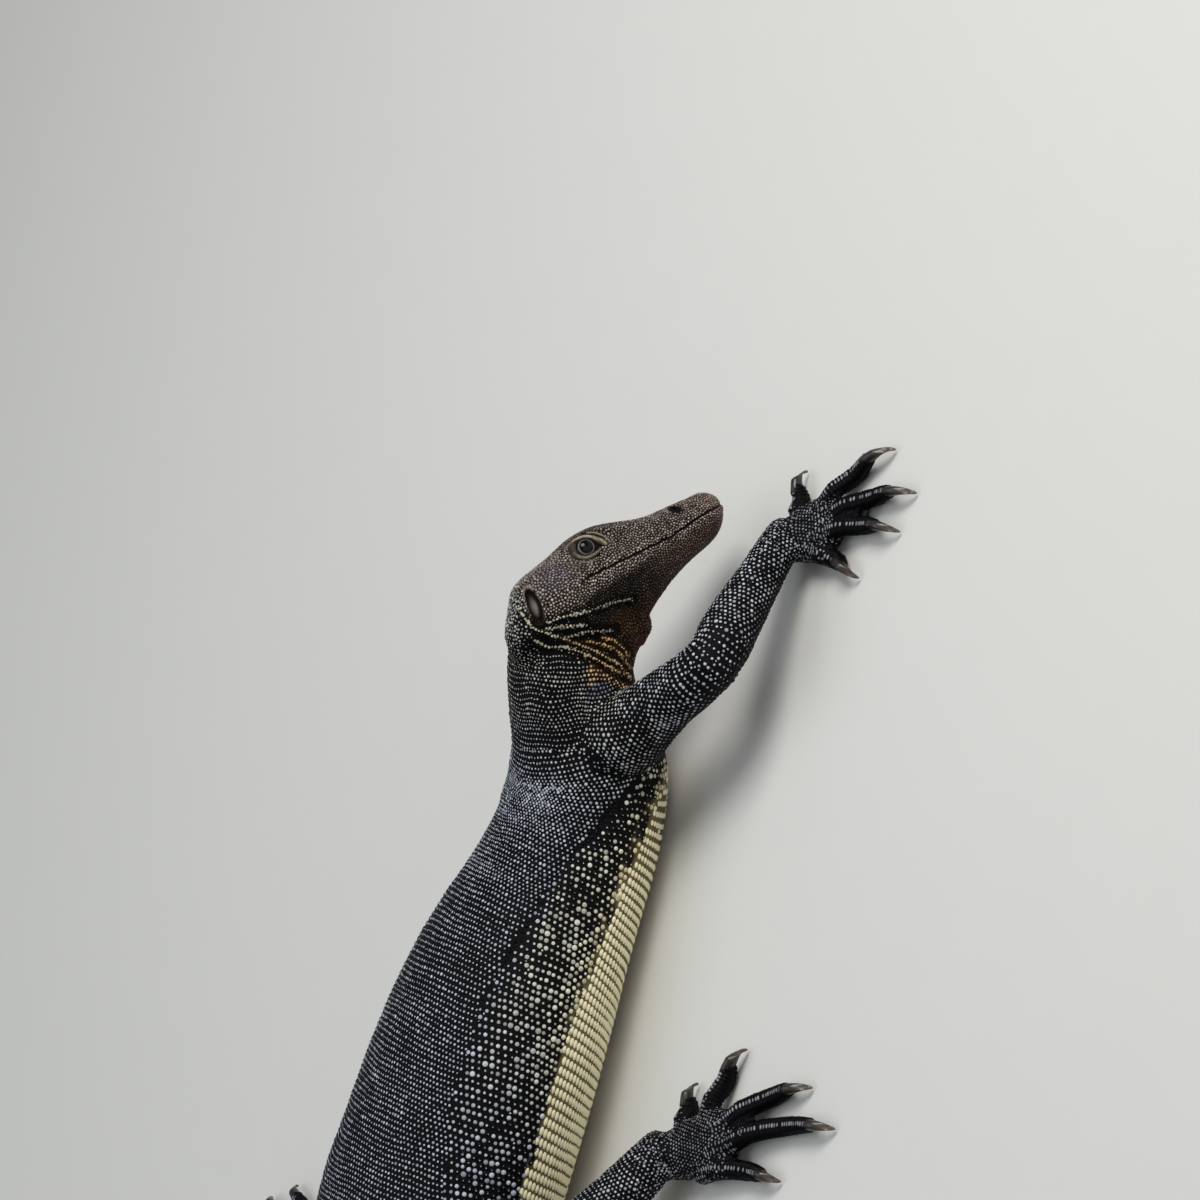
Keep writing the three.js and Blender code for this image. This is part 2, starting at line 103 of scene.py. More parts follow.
def opaque(red, green, blue):
    return [*linear(red, green, blue), 1]


def deselect():
    if bpy.context.object and bpy.context.object.mode != "OBJECT":
        bpy.ops.object.mode_set(mode="OBJECT")
    bpy.ops.object.select_all(action="DESELECT")


def choose(piece):
    deselect()
    piece.select_set(True)
    bpy.context.view_layer.objects.active = piece


def applyModifier(piece, kind, **settings):
    choose(piece)
    modifier = piece.modifiers.new(kind.lower(), kind)
    for name, value in settings.items():
        setattr(modifier, name, value)
    bpy.ops.object.modifier_apply(modifier=modifier.name)


def readPoints(piece):
    flat = np.empty(len(piece.data.vertices) * 3, np.float32)
    piece.data.vertices.foreach_get("co", flat)
    return flat.reshape(-1, 3).astype(float)


def writePoints(piece, points):
    piece.data.vertices.foreach_set("co", np.asarray(points, np.float32).ravel())
    piece.data.update()


def readNormals(piece):
    flat = np.empty(len(piece.data.vertices) * 3, np.float32)
    piece.data.vertex_normals.foreach_get("vector", flat)
    return flat.reshape(-1, 3).astype(float)


def addColour(piece, name, colours):
    layer = piece.data.attributes.new(name, "FLOAT_COLOR", "POINT")
    full = np.ones((len(colours), 4), np.float32)
    full[:, : colours.shape[1]] = colours
    layer.data.foreach_set("color", full.ravel())


def addNumber(piece, name, values):
    layer = piece.data.attributes.new(name, "FLOAT", "POINT")
    layer.data.foreach_set("value", np.asarray(values, np.float32))


# camera, light and floor
view = {
    "elevation": 30, "lean": 17,  # degrees: above the floor, and how far the body leans to the right
    "distance": 1600, "aim": (183.24, 23.75, 41.13),
    "lens": 110.4, "sensor": 36, "clip": (0.05, 60),  # the clip distances are metres
}


def addCamera():
    tilt, lean = math.radians(view["elevation"]), math.radians(view["lean"])
    back = Vector((0, -math.cos(tilt), math.sin(tilt)))
    level = Vector((0, math.sin(tilt), math.cos(tilt)))
    along = Vector((1, 0, 0))
    right = math.sin(lean) * along - math.cos(lean) * level
    up = math.cos(lean) * along + math.sin(lean) * level
    place = Vector(view["aim"]) * mm + back * view["distance"] * mm
    bpy.ops.object.camera_add(location=place)
    camera = bpy.context.object
    camera.name = "camera"
    camera.matrix_world = Matrix.Translation(place) @ Matrix((right, up, back)).transposed().to_4x4()
    camera.data.lens = view["lens"]
    camera.data.sensor_width = view["sensor"]
    camera.data.clip_start, camera.data.clip_end = view["clip"]
    bpy.context.scene.camera = camera


studio = {
    # the lamps, in metres and watts
    "lamps": {
        "key": {"at": (1.5, -0.6, 1.5), "aim": (0.1, 0, 0.05), "size": 1.0, "power": 32,
                "colour": (1.0, 0.98, 0.95)},
        "sky": {"at": (-0.5, 0.6, 2.2), "aim": (0, 0, 0.05), "size": 2.2, "power": 17,
                "colour": (0.9, 0.95, 1.0)},
        "front": {"at": (0.9, -2.3, 0.9), "aim": (0.1, 0, 0.05), "size": 2.4, "power": 12,
                  "colour": (1.0, 1.0, 1.0)},
    },
    "air": 0.24, "air colour": (0.93, 0.96, 1.0, 1),
    # the floor: metres, colour, how far it is mottled, and the noise per metre
    "floor size": 14, "floor": (214, 214, 210), "mottle": 0.06, "mottle colour": (0.5, 0.5, 0.48, 1),
    "grain": 30.0,
}


def addStudio():
    for name, lamp in studio["lamps"].items():
        bpy.ops.object.light_add(type="AREA", location=lamp["at"])
        light = bpy.context.object
        light.name = "light_" + name
        light.data.size, light.data.energy, light.data.color = lamp["size"], lamp["power"], lamp["colour"]
        aim = Vector(lamp["aim"]) - Vector(lamp["at"])
        light.rotation_euler = aim.to_track_quat("-Z", "Y").to_euler()
    world = bpy.data.worlds.new("air")
    bpy.context.scene.world = world
    world.use_nodes = True
    background = world.node_tree.nodes["Background"]
    background.inputs["Color"].default_value = studio["air colour"]
    background.inputs["Strength"].default_value = studio["air"]
    bpy.context.scene.view_settings.view_transform = "Standard"


def addFloor():
    bpy.ops.mesh.primitive_plane_add(size=studio["floor size"])
    floor = bpy.context.object
    floor.name = "floor"
    paint = Paint("floor_paint", **{"Specular IOR Level": 0.2})
    speck = paint.noise(studio["grain"])
    shade = paint.mix(speck * studio["mottle"], opaque(*studio["floor"]), studio["mottle colour"])
    floor.data.materials.append(paint.finish(shade, 0.8 - speck * 0.1, speck, 0.0001))


# materials
class Wire:
    # a shader socket that Python sums can be written with
    def __init__(self, paint, socket):
        self.paint, self.socket = paint, socket

    def maths(self, operation, first, second):
        return self.paint.node("Math", {"operation": operation}, {0: first, 1: second})

    def __add__(self, other):
        return self.maths("ADD", self, other)

    def __mul__(self, other):
        return self.maths("MULTIPLY", self, other)

    def __sub__(self, other):
        return self.maths("SUBTRACT", self, other)

    def __rsub__(self, other):
        return self.maths("SUBTRACT", other, self)

    def __truediv__(self, other):
        return self.maths("DIVIDE", self, other)

    __radd__, __rmul__ = __add__, __mul__

    def clipped(self):
        return self.paint.node("Clamp", {}, {0: self})


class Paint:
    # one material, built node by node
    def __init__(self, name, **shader):
        self.material = bpy.data.materials.new(name)
        self.material.use_nodes = True
        self.tree = self.material.node_tree
        self.shader = self.tree.nodes["Principled BSDF"]
        for socket, value in shader.items():
            self.shader.inputs[socket].default_value = value

    def node(self, kind, settings, inputs, output=0):
        made = self.tree.nodes.new("ShaderNode" + kind)
        for name, value in settings.items():
            setattr(made, name, value)
        for name, value in inputs.items():
            self.feed(made.inputs[name], value)
        return Wire(self, made.outputs[output])

    def feed(self, socket, value):
        if isinstance(value, Wire):
            self.tree.links.new(value.socket, socket)
        else:
            socket.default_value = value

    def attribute(self, name, output="Fac"):
        return self.node("Attribute", {"attribute_name": name}, {}, output)

    def mix(self, share, first, second):
        inputs = {0: share, 6: first, 7: second}
        return self.node("Mix", {"data_type": "RGBA"}, inputs, 2)

    def noise(self, scale, detail=3.0):
        place = self.node("TexCoord", {}, {}, "Object")
        return self.node("TexNoise", {}, {"Vector": place, "Scale": scale, "Detail": detail})

    def finish(self, colour, roughness, height, depth):
        self.feed(self.shader.inputs["Base Color"], colour)
        self.feed(self.shader.inputs["Roughness"], roughness)
        relief = self.node("Bump", {}, {"Height": height, "Strength": 0.6, "Distance": depth})
        self.feed(self.shader.inputs["Normal"], relief)
        return self.material


# the finishes: grain is noise per metre, relief its depth in metres, and rough the least roughness and how
# much the grain adds
scaleLook = {
    "gloss": 0.1, "grain": 1100.0, "relief": 0.0002, "rough": (0.4, 0.2), "spot rough": 0.1, "wear": 0.3,
    "spot edge": 0.2, "spot waver": 0.16,  # how soft and how uneven the edge of the spot is
    "rim": (0.8, 0.16), "rim share": 0.85,  # where the rim begins, from 0 at the crown to 1, and its edge
}
skinLook = {"gloss": 0.1, "mottle": (700.0, 0.4), "dark": (0.004, 0.004, 0.005, 1), "rough": (0.5, 0.2),
            "grain": 2600.0, "relief": 0.0003}


def scalePaint():
    # each scale has a pale spot at its crown and a dark rim; the spot's size and the colours are its own
    look = scaleLook
    paint = Paint("scale_paint", **{"Specular IOR Level": look["gloss"]})
    crown = paint.attribute("crown")
    mottle = paint.noise(look["grain"])
    waver = (mottle - 0.5) * look["spot waver"]
    spot = ((paint.attribute("spotReach") - crown + waver) / look["spot edge"] + 0.5).clipped()
    shade = paint.mix(spot, paint.attribute("ground", "Color"), paint.attribute("spot", "Color"))
    rim = ((crown - look["rim"][0]) / look["rim"][1]).clipped()
    shade = paint.mix(rim * look["rim share"], shade, paint.attribute("rim", "Color"))
    worn = paint.mix(mottle * look["wear"], shade, paint.mix(0.6, shade, (0.0, 0.0, 0.0, 1)))
    rough = look["rough"][0] + mottle * look["rough"][1] + spot * look["spot rough"]
    return paint.finish(worn, rough, mottle, look["relief"])


def skinPaint():
    # the soft skin between the scales
    look = skinLook
    paint = Paint("skin_paint", **{"Specular IOR Level": look["gloss"]})
    mottle = paint.noise(look["mottle"][0])
    shade = paint.mix(mottle * look["mottle"][1], paint.attribute("ground", "Color"), look["dark"])
    rough = look["rough"][0] + mottle * look["rough"][1]
    return paint.finish(shade, rough, paint.noise(look["grain"]), look["relief"])


# skin
flesh = [name for name in nodes if "claw" not in name and "eye" not in name]
headNames = ("head", "lower_jaw")
trunkNames = ("torso", "neck", "tail_base")
limbNames = {"arm": ("upper_arm", "forearm", "hand"), "leg": ("thigh", "shank", "foot")}
skinSetup = {
    "voxel": 1.5, "swell": 0.35,  # the copies swell so that the thin cuts between them close
    "sink": 0.5,  # how deep the skin lies under the tops of the scales, swell left out
    "rounds": 50, "body share": 0.34,  # smoothing, and the share of the body's faces that is kept
    "ease": {"torso": 1.0, "neck": 0.36, "head": 0.09, "lower_jaw": 0.07, "upper_arm": 0.3, "forearm": 0.26,
             "thigh": 0.36, "shank": 0.28, "hand": 0.07, "foot": 0.07},
    "tail": {"tip": -982, "length": 760, "ease": 0.75, "taper": 1.7},  # smoothed less towards the tip
    # the step from head to neck is smoothed away: where on the head, how far round it, and above what height
    "seam": {"at": -10, "reach": 8, "height": (-8, 2), "ease": 0.75, "half width": 30},
    "lowest": 0.1,
}


def bareName(name):
    return name.replace("_right", "").replace("_left", "")


def solidsTree():
    # every flesh solid in one search tree, with the name of the solid that each face belongs to
    points, faces, owners = [], [], []
    for name in flesh:
        mesh = nodes[name].data
        start = len(points)
        points += [v.co.copy() for v in mesh.vertices]
        faces += [[start + i for i in face.vertices] for face in mesh.polygons]
        owners += [name] * len(mesh.polygons)
    return BVHTree.FromPolygons(points, faces), owners


cadTree, cadOwners = solidsTree()


def ownerOf(point):
    # the solid that is nearest to a point
    return cadOwners[cadTree.find_nearest(Vector(point))[2]]


def easeOf(name, x):
    if name.startswith("tail"):
        tail = skinSetup["tail"]
        thick = np.clip((x / mm - tail["tip"]) / tail["length"], 0.02, 1)
        return tail["ease"] * thick ** tail["taper"]
    return skinSetup["ease"][bareName(name)]


def setGroup(piece, name, weights):
    group = piece.vertex_groups.new(name=name)
    steps = np.round(np.clip(weights, 0, 1), 2)
    for weight in np.unique(steps):
        group.add(np.nonzero(steps == weight)[0].tolist(), float(weight), "REPLACE")
    return name


def copyJoined(names):
    deselect()
    for name in names:
        twin = nodes[name].copy()
        twin.data = nodes[name].data.copy()
        twin.parent = None
        for key in list(twin.keys()):
            del twin[key]
        bpy.context.scene.collection.objects.link(twin)
        twin.select_set(True)
        bpy.context.view_layer.objects.active = twin
    bpy.ops.object.join()
    piece = bpy.context.object
    bpy.ops.object.mode_set(mode="EDIT")
    bpy.ops.mesh.select_all(action="SELECT")
    bpy.ops.mesh.remove_doubles(threshold=0.00001)
    bpy.ops.object.mode_set(mode="OBJECT")
    return piece


def refine(piece, wanted):
    # one more level of faces where wanted(points) says so
    points = readPoints(piece)
    near = wanted(points)
    choose(piece)
    bpy.ops.object.mode_set(mode="EDIT")
    bpy.ops.mesh.select_all(action="DESELECT")
    bpy.ops.object.mode_set(mode="OBJECT")
    corners = np.array([near[list(face.vertices)].all() for face in piece.data.polygons])
    piece.data.polygons.foreach_set("select", corners)
    bpy.ops.object.mode_set(mode="EDIT")
    bpy.ops.mesh.select_mode(type="FACE")
    bpy.ops.mesh.subdivide(number_cuts=1, smoothness=0.35)
    bpy.ops.object.mode_set(mode="OBJECT")


eye = {
    "centre": (31, 13.6, 7.4), "look": (0.16, 1, 0.22), "radius": 6.2, "tilt": -14, "opening": (4.3, 3.3),
    "lid": 0.5, "behind": 1.3,  # how far the lids lie over the eyeball, and the skin under it
    # folds of the lids: angles round the opening, how many openings out each is there, its width and height,
    # and how pale it is
    "folds": (
        {"angles": (2, 30, 71, 118, 143, 168), "far": (2.1, 1.72, 1.55, 1.62, 1.8, 1.95),
         "wide": 0.9, "high": 0.8, "pale": 1.0},
        {"angles": (8, 26, 43, 68), "far": (2.6, 2.42, 2.3, 2.2), "wide": 0.42, "high": 0.6, "pale": 0.9},
        {"angles": (-168, -135, -104, -70, -33, -5), "far": (1.36, 1.42, 1.41, 1.3, 1.34, 1.56),
         "wide": 0.52, "high": 0.5, "pale": 0.85},
        {"angles": (-160, -140, -125, -57), "far": (2.1, 2.1, 2.0, 1.8),
         "wide": 0.45, "high": 0.45, "pale": 0.5},
        {"angles": (-155, -140, -120), "far": (2.7, 2.65, 2.5), "wide": 0.5, "high": 0.35, "pale": 0.4},
    ),
}
eyeGaze = np.array(eye["look"]) / np.linalg.norm(eye["look"])
mouth = {
    "line": ((20, -5.4), (25, -3.4), (40, -3.0), (68, -2.6), (82, -0.2), (100, 1.2)),
    "depth": 0.6, "width": 0.4,
    "lips": ((0.32, 1.3), (0.3, -1.4)), "lip": 0.8,  # height and place of each lip, and their width
}
# what smoothing takes off the head and the solids leave out: the snout's tip, the jaw's corner and the nape
snout = {"lift": 2.0, "from": (82, 93), "longer": 0.9}
jawDrop = ((38, 0), (43, 2.8), (47, 4.2), (53, 2.4), (62, 1.0), (74, 0))
nape = {"at": 0.5, "reach": 9, "lift": 1.9}
nostril = {"centre": (75, 8.4, 7), "half": (2.5, 1.75), "slant": -32, "depth": 2.2, "drum": 0.0, "rim": 0.3}
ear = {"centre": (1.2, 19.4, -4.9), "half": (2.4, 7.9), "slant": -5, "depth": 2.8, "drum": 1.2, "rim": 0.6}
# folds of the throat in the head's side view, from the ear forwards: height, and how tan their beads are
throat = {
    "folds": (
        {"line": ((3, -13), (9.5, -14), (16.5, -15.5), (23, -16.5), (33, -17.5), (41, -19.5)),
         "high": 0.45, "tan": 0.1},
        {"line": ((2, -15.5), (9.5, -18), (17, -21)), "high": 0.5, "tan": 0.25},
        {"line": ((8, -22), (14, -23), (21, -25.3), (29, -28.5)), "high": 0.8, "tan": 0.45},
        {"line": ((-4.5, 1), (-4.5, -6), (-2.7, -13), (2, -17.7), (8, -23), (14, -29), (20.6, -36.8),
                  (26, -43), (28.7, -50.5)), "high": 1.1, "tan": 0.6},
        {"line": ((-4, -17.5), (0, -22.5), (6.5, -26), (12, -31), (17.7, -37.4), (22.3, -43.3), (27, -48.6)),
         "high": 1.1, "tan": 0.7},
        {"line": ((15.7, -27.4), (21.8, -31.4), (26.8, -36.7), (29.5, -42.5), (30.4, -46.4)),
         "high": 0.9, "tan": 1.0},
        {"line": ((22.8, -28.9), (27, -32.3), (30.2, -37.5), (31.4, -41)), "high": 0.7, "tan": 1.0},
    ),
    "wide": 1.15, "groove": 0.8,
    # the beads: from one to the next, half size as a share of that, how much they vary and stray, height, and
    # how far from the middle of the throat they begin
    "bead": 1.4, "bead half": 0.45, "bead vary": 0.2, "bead height": 0.5, "bead from": 6,
    # the cream net above the shoulder, and the grey-blue patch in it
    "net": ((13, -40.8), (19, -42.8), (25.6, -47.5), (27.5, -54), (20, -60)),
    "patch": (11.7, -48), "patch half": (5.4, 3.9),
}


def mirroredHead(points):
    # head points of both sides as if they lay on the left
    q = toHead(points)
    q[:, 1] = np.abs(q[:, 1])
    return q


def overMouth(q):
    # height over the mouth line in the head's side view
    return q[:, 2] - follow(q[:, 0], mouth["line"])


def eyeSpace(q):
    # coordinates round the eye, on mirrored head points: along, up and out, and the distance in openings
    out = eyeGaze
    level = unit(np.array((1.0, 0, 0)) - out[0] * out)
    up = np.cross(level, out)
    up = up if up[2] > 0 else -up
    tilt = math.radians(eye["tilt"])
    along, over = level * math.cos(tilt) + up * math.sin(tilt), up * math.cos(tilt) - level * math.sin(tilt)
    v = q - np.array(eye["centre"])
    a, b, c = v @ along, v @ over, v @ out
    wide, high = eye["opening"]
    ring = ((np.abs(a) / wide) ** 1.85 + (np.abs(b) / high) ** 1.85) ** (1 / 1.85)
    return a, b, c, ring, out


def lidFold(a, b, ring, fold):
    # how far up a lid fold each point is: 1 on its crest
    angle = np.degrees(np.arctan2(b, a))
    apart = (ring - np.interp(angle, fold["angles"], fold["far"])) * np.hypot(a, b) / np.maximum(ring, 0.01)
    first, last = fold["angles"][0], fold["angles"][-1]
    begun = smooth(angle, first - 9, first + 5)
    return bump(apart, 0, fold["wide"]) * begun * (1 - smooth(angle, last - 5, last + 9))


def lidCrests(a, b, ring):
    return np.max([lidFold(a, b, ring, fold) for fold in eye["folds"]], axis=0)


def ovalSpace(q, oval):
    # distance from an oval's middle as a share of its size, in the side view of the head
    slant = math.radians(oval["slant"])
    dx, dz = q[:, 0] - oval["centre"][0], q[:, 2] - oval["centre"][2]
    a = dx * math.cos(slant) + dz * math.sin(slant)
    b = -dx * math.sin(slant) + dz * math.cos(slant)
    return np.hypot(a / oval["half"][0], b / oval["half"][1])


def throatFolds(q):
    # on each point: the nearest fold's crest (1) or groove (0), how tan it is, how far the point is in the
    # folds at all, and how high the fold is
    crest, tan, inside, high = np.zeros((4, len(q)))
    wide = np.interp(q[:, 2], (-40, -20), (19, 28))
    widest = np.interp(q[:, 2], (-40, -20), (22, 31))
    own = (1 - smooth(q[:, 1], wide, widest)) * (1 - smooth(q[:, 2], -7, -1))
    for fold in throat["folds"]:
        apart = lineDistance(q[:, (0, 2)], fold["line"])
        here = bump(apart, 0, throat["wide"]) * own
        nearer = here > crest
        crest = np.where(nearer, here, crest)
        start = np.array(fold["line"][0])
        front = smooth(np.hypot(q[:, 0] - start[0], q[:, 2] - start[1]), 12, 32)
        tan = np.where(nearer, fold["tan"] * np.where(fold["tan"] == 1, 1, front), tan)
        high = np.where(nearer, fold["high"], high)
        inside = np.maximum(inside, bump(apart, 0, np.interp(q[:, 2], (-24, -12), (3.0, 1.6))) * own)
    return crest, tan, inside, high


def sinkPit(q, side, pit):
    # the skin over a pit is laid level with the skin round it, then sunk, with a low rim
    share = ovalSpace(q, pit)
    close = np.abs(q[:, 1] - pit["centre"][1]) < 9
    for hand in (-1, 1):
        mine = close & (side == hand)
        ring = mine & (share > 1.4) & (share < 2.1)
        place = q[:, (0, 2)] - np.array(pit["centre"])[[0, 2]]
        x, z = place.T
        terms = np.column_stack([np.ones(len(q)), x, z, x * x, x * z, z * z])
        level = terms @ np.linalg.lstsq(terms[ring], q[ring, 1], rcond=None)[0]
        q[:, 1] += np.where(mine, (level - q[:, 1]) * (1 - smooth(share, 1.25, 1.6)), 0)
    deep = (1 - smooth(share, 0.74, 1.02)) * (pit["depth"] - pit["drum"] * bump(share, 0, 0.55))
    q[:, 1] -= np.where(close, deep - pit["rim"] * bump(share, 1.14, 0.13), 0)


def sculptHead(points, normals):
    q = toHead(points)
    way = normals @ headAxes
    side = np.where(q[:, 1] < 0, -1.0, 1.0)
    q[:, 1] *= side
    way[:, 1] *= side
    # mouth line and lips
    over = overMouth(q)
    on = smooth(q[:, 0], 19, 27) * (1 - 0.6 * smooth(q[:, 0], 86, 97)) * (q[:, 1] < 32)
    lift = -mouth["depth"] * bump(over, 0, mouth["width"])
    for high, at in mouth["lips"]:
        lift = lift + high * bump(over, at, mouth["lip"])
    move = (on * lift)[:, None] * way
    crest, _, inside, high = throatFolds(q)
    move += (high * crest - throat["groove"] * (inside - crest).clip(0))[:, None] * way
    q += move
    tip = smooth(q[:, 0], *snout["from"]) * (q[:, 1] < 14) * (np.abs(q[:, 2]) < 25)
    q[:, 2] += snout["lift"] * tip * smooth(q[:, 2], -0.5, 3.5)
    q[:, 0] += snout["longer"] * tip * smooth(q[:, 2], -3, 1)
    inHead = (q[:, 1] < 26) & (q[:, 0] < 80) & (q[:, 2] > -38)
    q[:, 2] -= follow(q[:, 0], jawDrop) * smooth(-q[:, 2], 9, 21) * inHead
    raised = nape["lift"] * bump(q[:, 0], nape["at"], nape["reach"]) * smooth(way[:, 2], 0, 0.6)
    q += (raised * smooth(q[:, 2], -4, 6) * inHead)[:, None] * way
    for pit in (nostril, ear):
        sinkPit(q, side, pit)
    # the lids lie on the eyeball, and the skin dips behind it inside the opening
    a, b, c, ring, out = eyeSpace(q)
    lidRadius = eye["radius"] + eye["lid"]
    onBall = np.sqrt(np.maximum(lidRadius**2 - a**2 - b**2, 1.0))
    height = onBall + (c - onBall) * smooth(ring, 1.3, 2.3)
    for fold in eye["folds"]:
        height += fold["high"] * lidFold(a, b, ring, fold)
    under = np.sqrt(np.maximum((eye["radius"] - eye["behind"]) ** 2 - a**2 - b**2, 1.0))
    height = under + (height - under) * smooth(ring, 0.93, 1.03)
    near = (c > 0) & (ring < 3.6)
    q += (np.where(near, (height - c) * (1 - smooth(ring, 3.2, 3.6)), 0))[:, None] * out
    q[:, 1] *= side
    return fromHead(q)


# the fold along the flank, and the heights along x where the back's scales end and the belly's cream begins
flank = {
    "line": ((115, 36, 32), (102, 37, 40), (89, 36, 45), (81, 35, 50), (68, 34, 56), (57, 35, 59),
             (39, 36, 65), (21, 37, 71), (7, 36, 74)),
    "wide": 1.7, "depth": 1.3,
    "top": ((-200, 40), (-100, 66), (-40, 76), (7, 74), (57, 59), (89, 46), (115, 32)),
    "cream": ((-210, 12), (-185, 19), (-150, 32), (-90, 42), (-46, 43), (-10, 40.5), (10, 39), (30, 35),
              (50, 31), (75, 27.5), (92, 23.5), (107, 20), (120, 14), (134, 8)),
}


def flankFold(places):
    # 1 in the bottom of the fold on either flank
    mirrored = places * (1, -1, 1) if len(places) else places
    apart = np.minimum(lineDistance(places, flank["line"]), lineDistance(mirrored, flank["line"]))
    return bump(apart, 0, flank["wide"])


def flankTop(x):
    return follow(x, flank["top"])


def creamHeight(x):
    return follow(x, flank["cream"])


def makeSkin():
    skin = copyJoined([name for name in nodes if "claw" not in name])
    skin.name = "skin"
    skin.data.materials.clear()
    applyModifier(skin, "DISPLACE", strength=skinSetup["swell"] * mm, mid_level=0)
    skin.data.remesh_voxel_size = skinSetup["voxel"] * mm
    choose(skin)
    bpy.ops.object.voxel_remesh()
    points = readPoints(skin)
    owners = [ownerOf(point) for point in points]
    ease = np.array([easeOf(name, point[0]) for name, point in zip(owners, points)])
    q, seam = toHead(points), skinSetup["seam"]
    onSeam = np.isin(owners, ("head", "neck", "torso")) & (np.abs(q[:, 1]) < seam["half width"])
    eased = seam["ease"] * bump(q[:, 0], seam["at"], seam["reach"]) * smooth(q[:, 2], *seam["height"])
    setGroup(skin, "ease", np.where(onSeam, np.maximum(ease, eased), ease))
    applyModifier(skin, "SMOOTH", factor=0.5, iterations=skinSetup["rounds"], vertex_group="ease")
    applyModifier(skin, "DISPLACE", strength=-skinSetup["sink"] * mm, mid_level=0)
    setGroup(skin, "plain", 1.0 - np.isin(owners, headNames))
    applyModifier(skin, "DECIMATE", ratio=skinSetup["body share"], vertex_group="plain",
                  use_collapse_triangulate=True)
    print("skin after thinning", len(skin.data.polygons))
    refine(skin, onHead)
    refine(skin, nearFeatures)
    points = readPoints(skin)
    normals = readNormals(skin)
    groove = flank["depth"] * flankFold(points / mm) * mm
    points = sculptHead(points - groove[:, None] * normals, normals)
    points[:, 2] = np.maximum(points[:, 2], skinSetup["lowest"] * mm)
    writePoints(skin, points)
    choose(skin)
    bpy.ops.object.shade_smooth()
    print("skin", len(skin.data.polygons), "faces")
    return skin


def nearHead(points):
    q = toHead(points)
    return (q[:, 0] < 110) & (np.abs(q[:, 1]) < 32) & (q[:, 2] < 22)


def onHead(points):
    q = toHead(points)
    return (q[:, 0] > -14) & (q[:, 2] > -40) & nearHead(points)


def nearFeatures(points):
    q = mirroredHead(points)
    ring = eyeSpace(q)[3]
    onMouth = (np.abs(overMouth(q)) < 1.7) & (q[:, 0] > 21)
    onEye = (ring < 2.7) & (q[:, 1] > 9)
    onPit = (ovalSpace(q, nostril) < 1.7) & (q[:, 1] > 4)
    onEar = (ovalSpace(q, ear) < 1.4) & (q[:, 1] > 9)
    return nearHead(points) & (onMouth | onEye | onPit | onEar)


# the coat: rows of scales laid across each length of the body
trunkLine = {
    "tail": {"start": -174, "length": 808, "swing": 42, "high": 26},
    "body": (
        (-130, 0, 33), (-98, 0, 37), (-60, 0, 40), (-18, 0, 41), (22, 0, 39), (58, 0, 33.4),
        (88, 0, 31.4), (112, 0, 36.5), (133, 0, 50), (152, -0.5, 59.5), (167, -1.5, 63.5), (179, -4, 61.5),
        (190, -6.8, 58),
    ),
}
# the head: its middle in the side view, and on the coat unrolled its length and the degrees to a millimetre
headLine = {
    "middle": ((-13, -24), (5, -13), (40, -6), (96, -1)), "length": 110, "round": 3.0,
    # scales: the gap along the head, more of it on the throat, patches of wider gaps, and half sizes and
    # height as shares of the gap
    "gaps": ((-15, 1.7), (0, 1.4), (20, 1.18), (60, 1.06), (90, 1.02)), "throat": 0.25,
    "patches": (3.5, 0.22),
    "half": (0.52, 0.48), "height": 0.24, "vary": 0.1, "swirl": (9.0, 0.5),
    # scattering: throws for each place, least distance, and reach, strength and rounds of pushing apart
    "throws": 9, "cell": 2.2, "apart": 0.86, "reach": 1.25, "push": 0.24, "rounds": 4,
}
limbLines = {
    "arm_right": {"joints": ((130, -29, 42), (171, -78, 41), (230, -60, 14)), "heading": 58, "side": -1},
    "arm_left": {"joints": ((130, 29, 42), (72, 55, 26), (122, 90, 13.5)), "heading": 52, "side": 1},
    "leg_right": {"joints": ((-158, -24, 42), (-97, -88, 43), (-26, -108, 15)), "heading": 60, "side": -1},
    "leg_left": {"joints": ((-158, 26, 42), (-124, 92, 39), (-174, 131, 15)), "heading": 65, "side": 1},
}
# digits from the inner one out: angle from the palm's heading, length, claw, and the root on the palm
palms = {
    "arm": {
        "node": "hand", "claw": "finger_claw", "reach": 22, "radius": 4.5, "tip": 6.6, "wide": 15,
        "digits": ((-96, 19, 10, 4, -8.5), (-16, 35, 14, 18, -7.5), (8, 42, 15, 22, -1.5),
                   (18, 34, 14, 21, 5), (38, 22, 11, 12, 10)),
    },
    "leg": {
        "node": "foot", "claw": "toe_claw", "reach": 34, "radius": 4.7, "tip": 5.9, "wide": 14.5,
        "digits": ((-90, 15, 8, 8, -9.5), (-56, 25, 10, 24, -10), (-7, 44, 12, 34, -4), (5, 58, 13, 34, 4),
                   (14, 40, 10, 20, 11.5)),
    },
    "curl": 26,
}
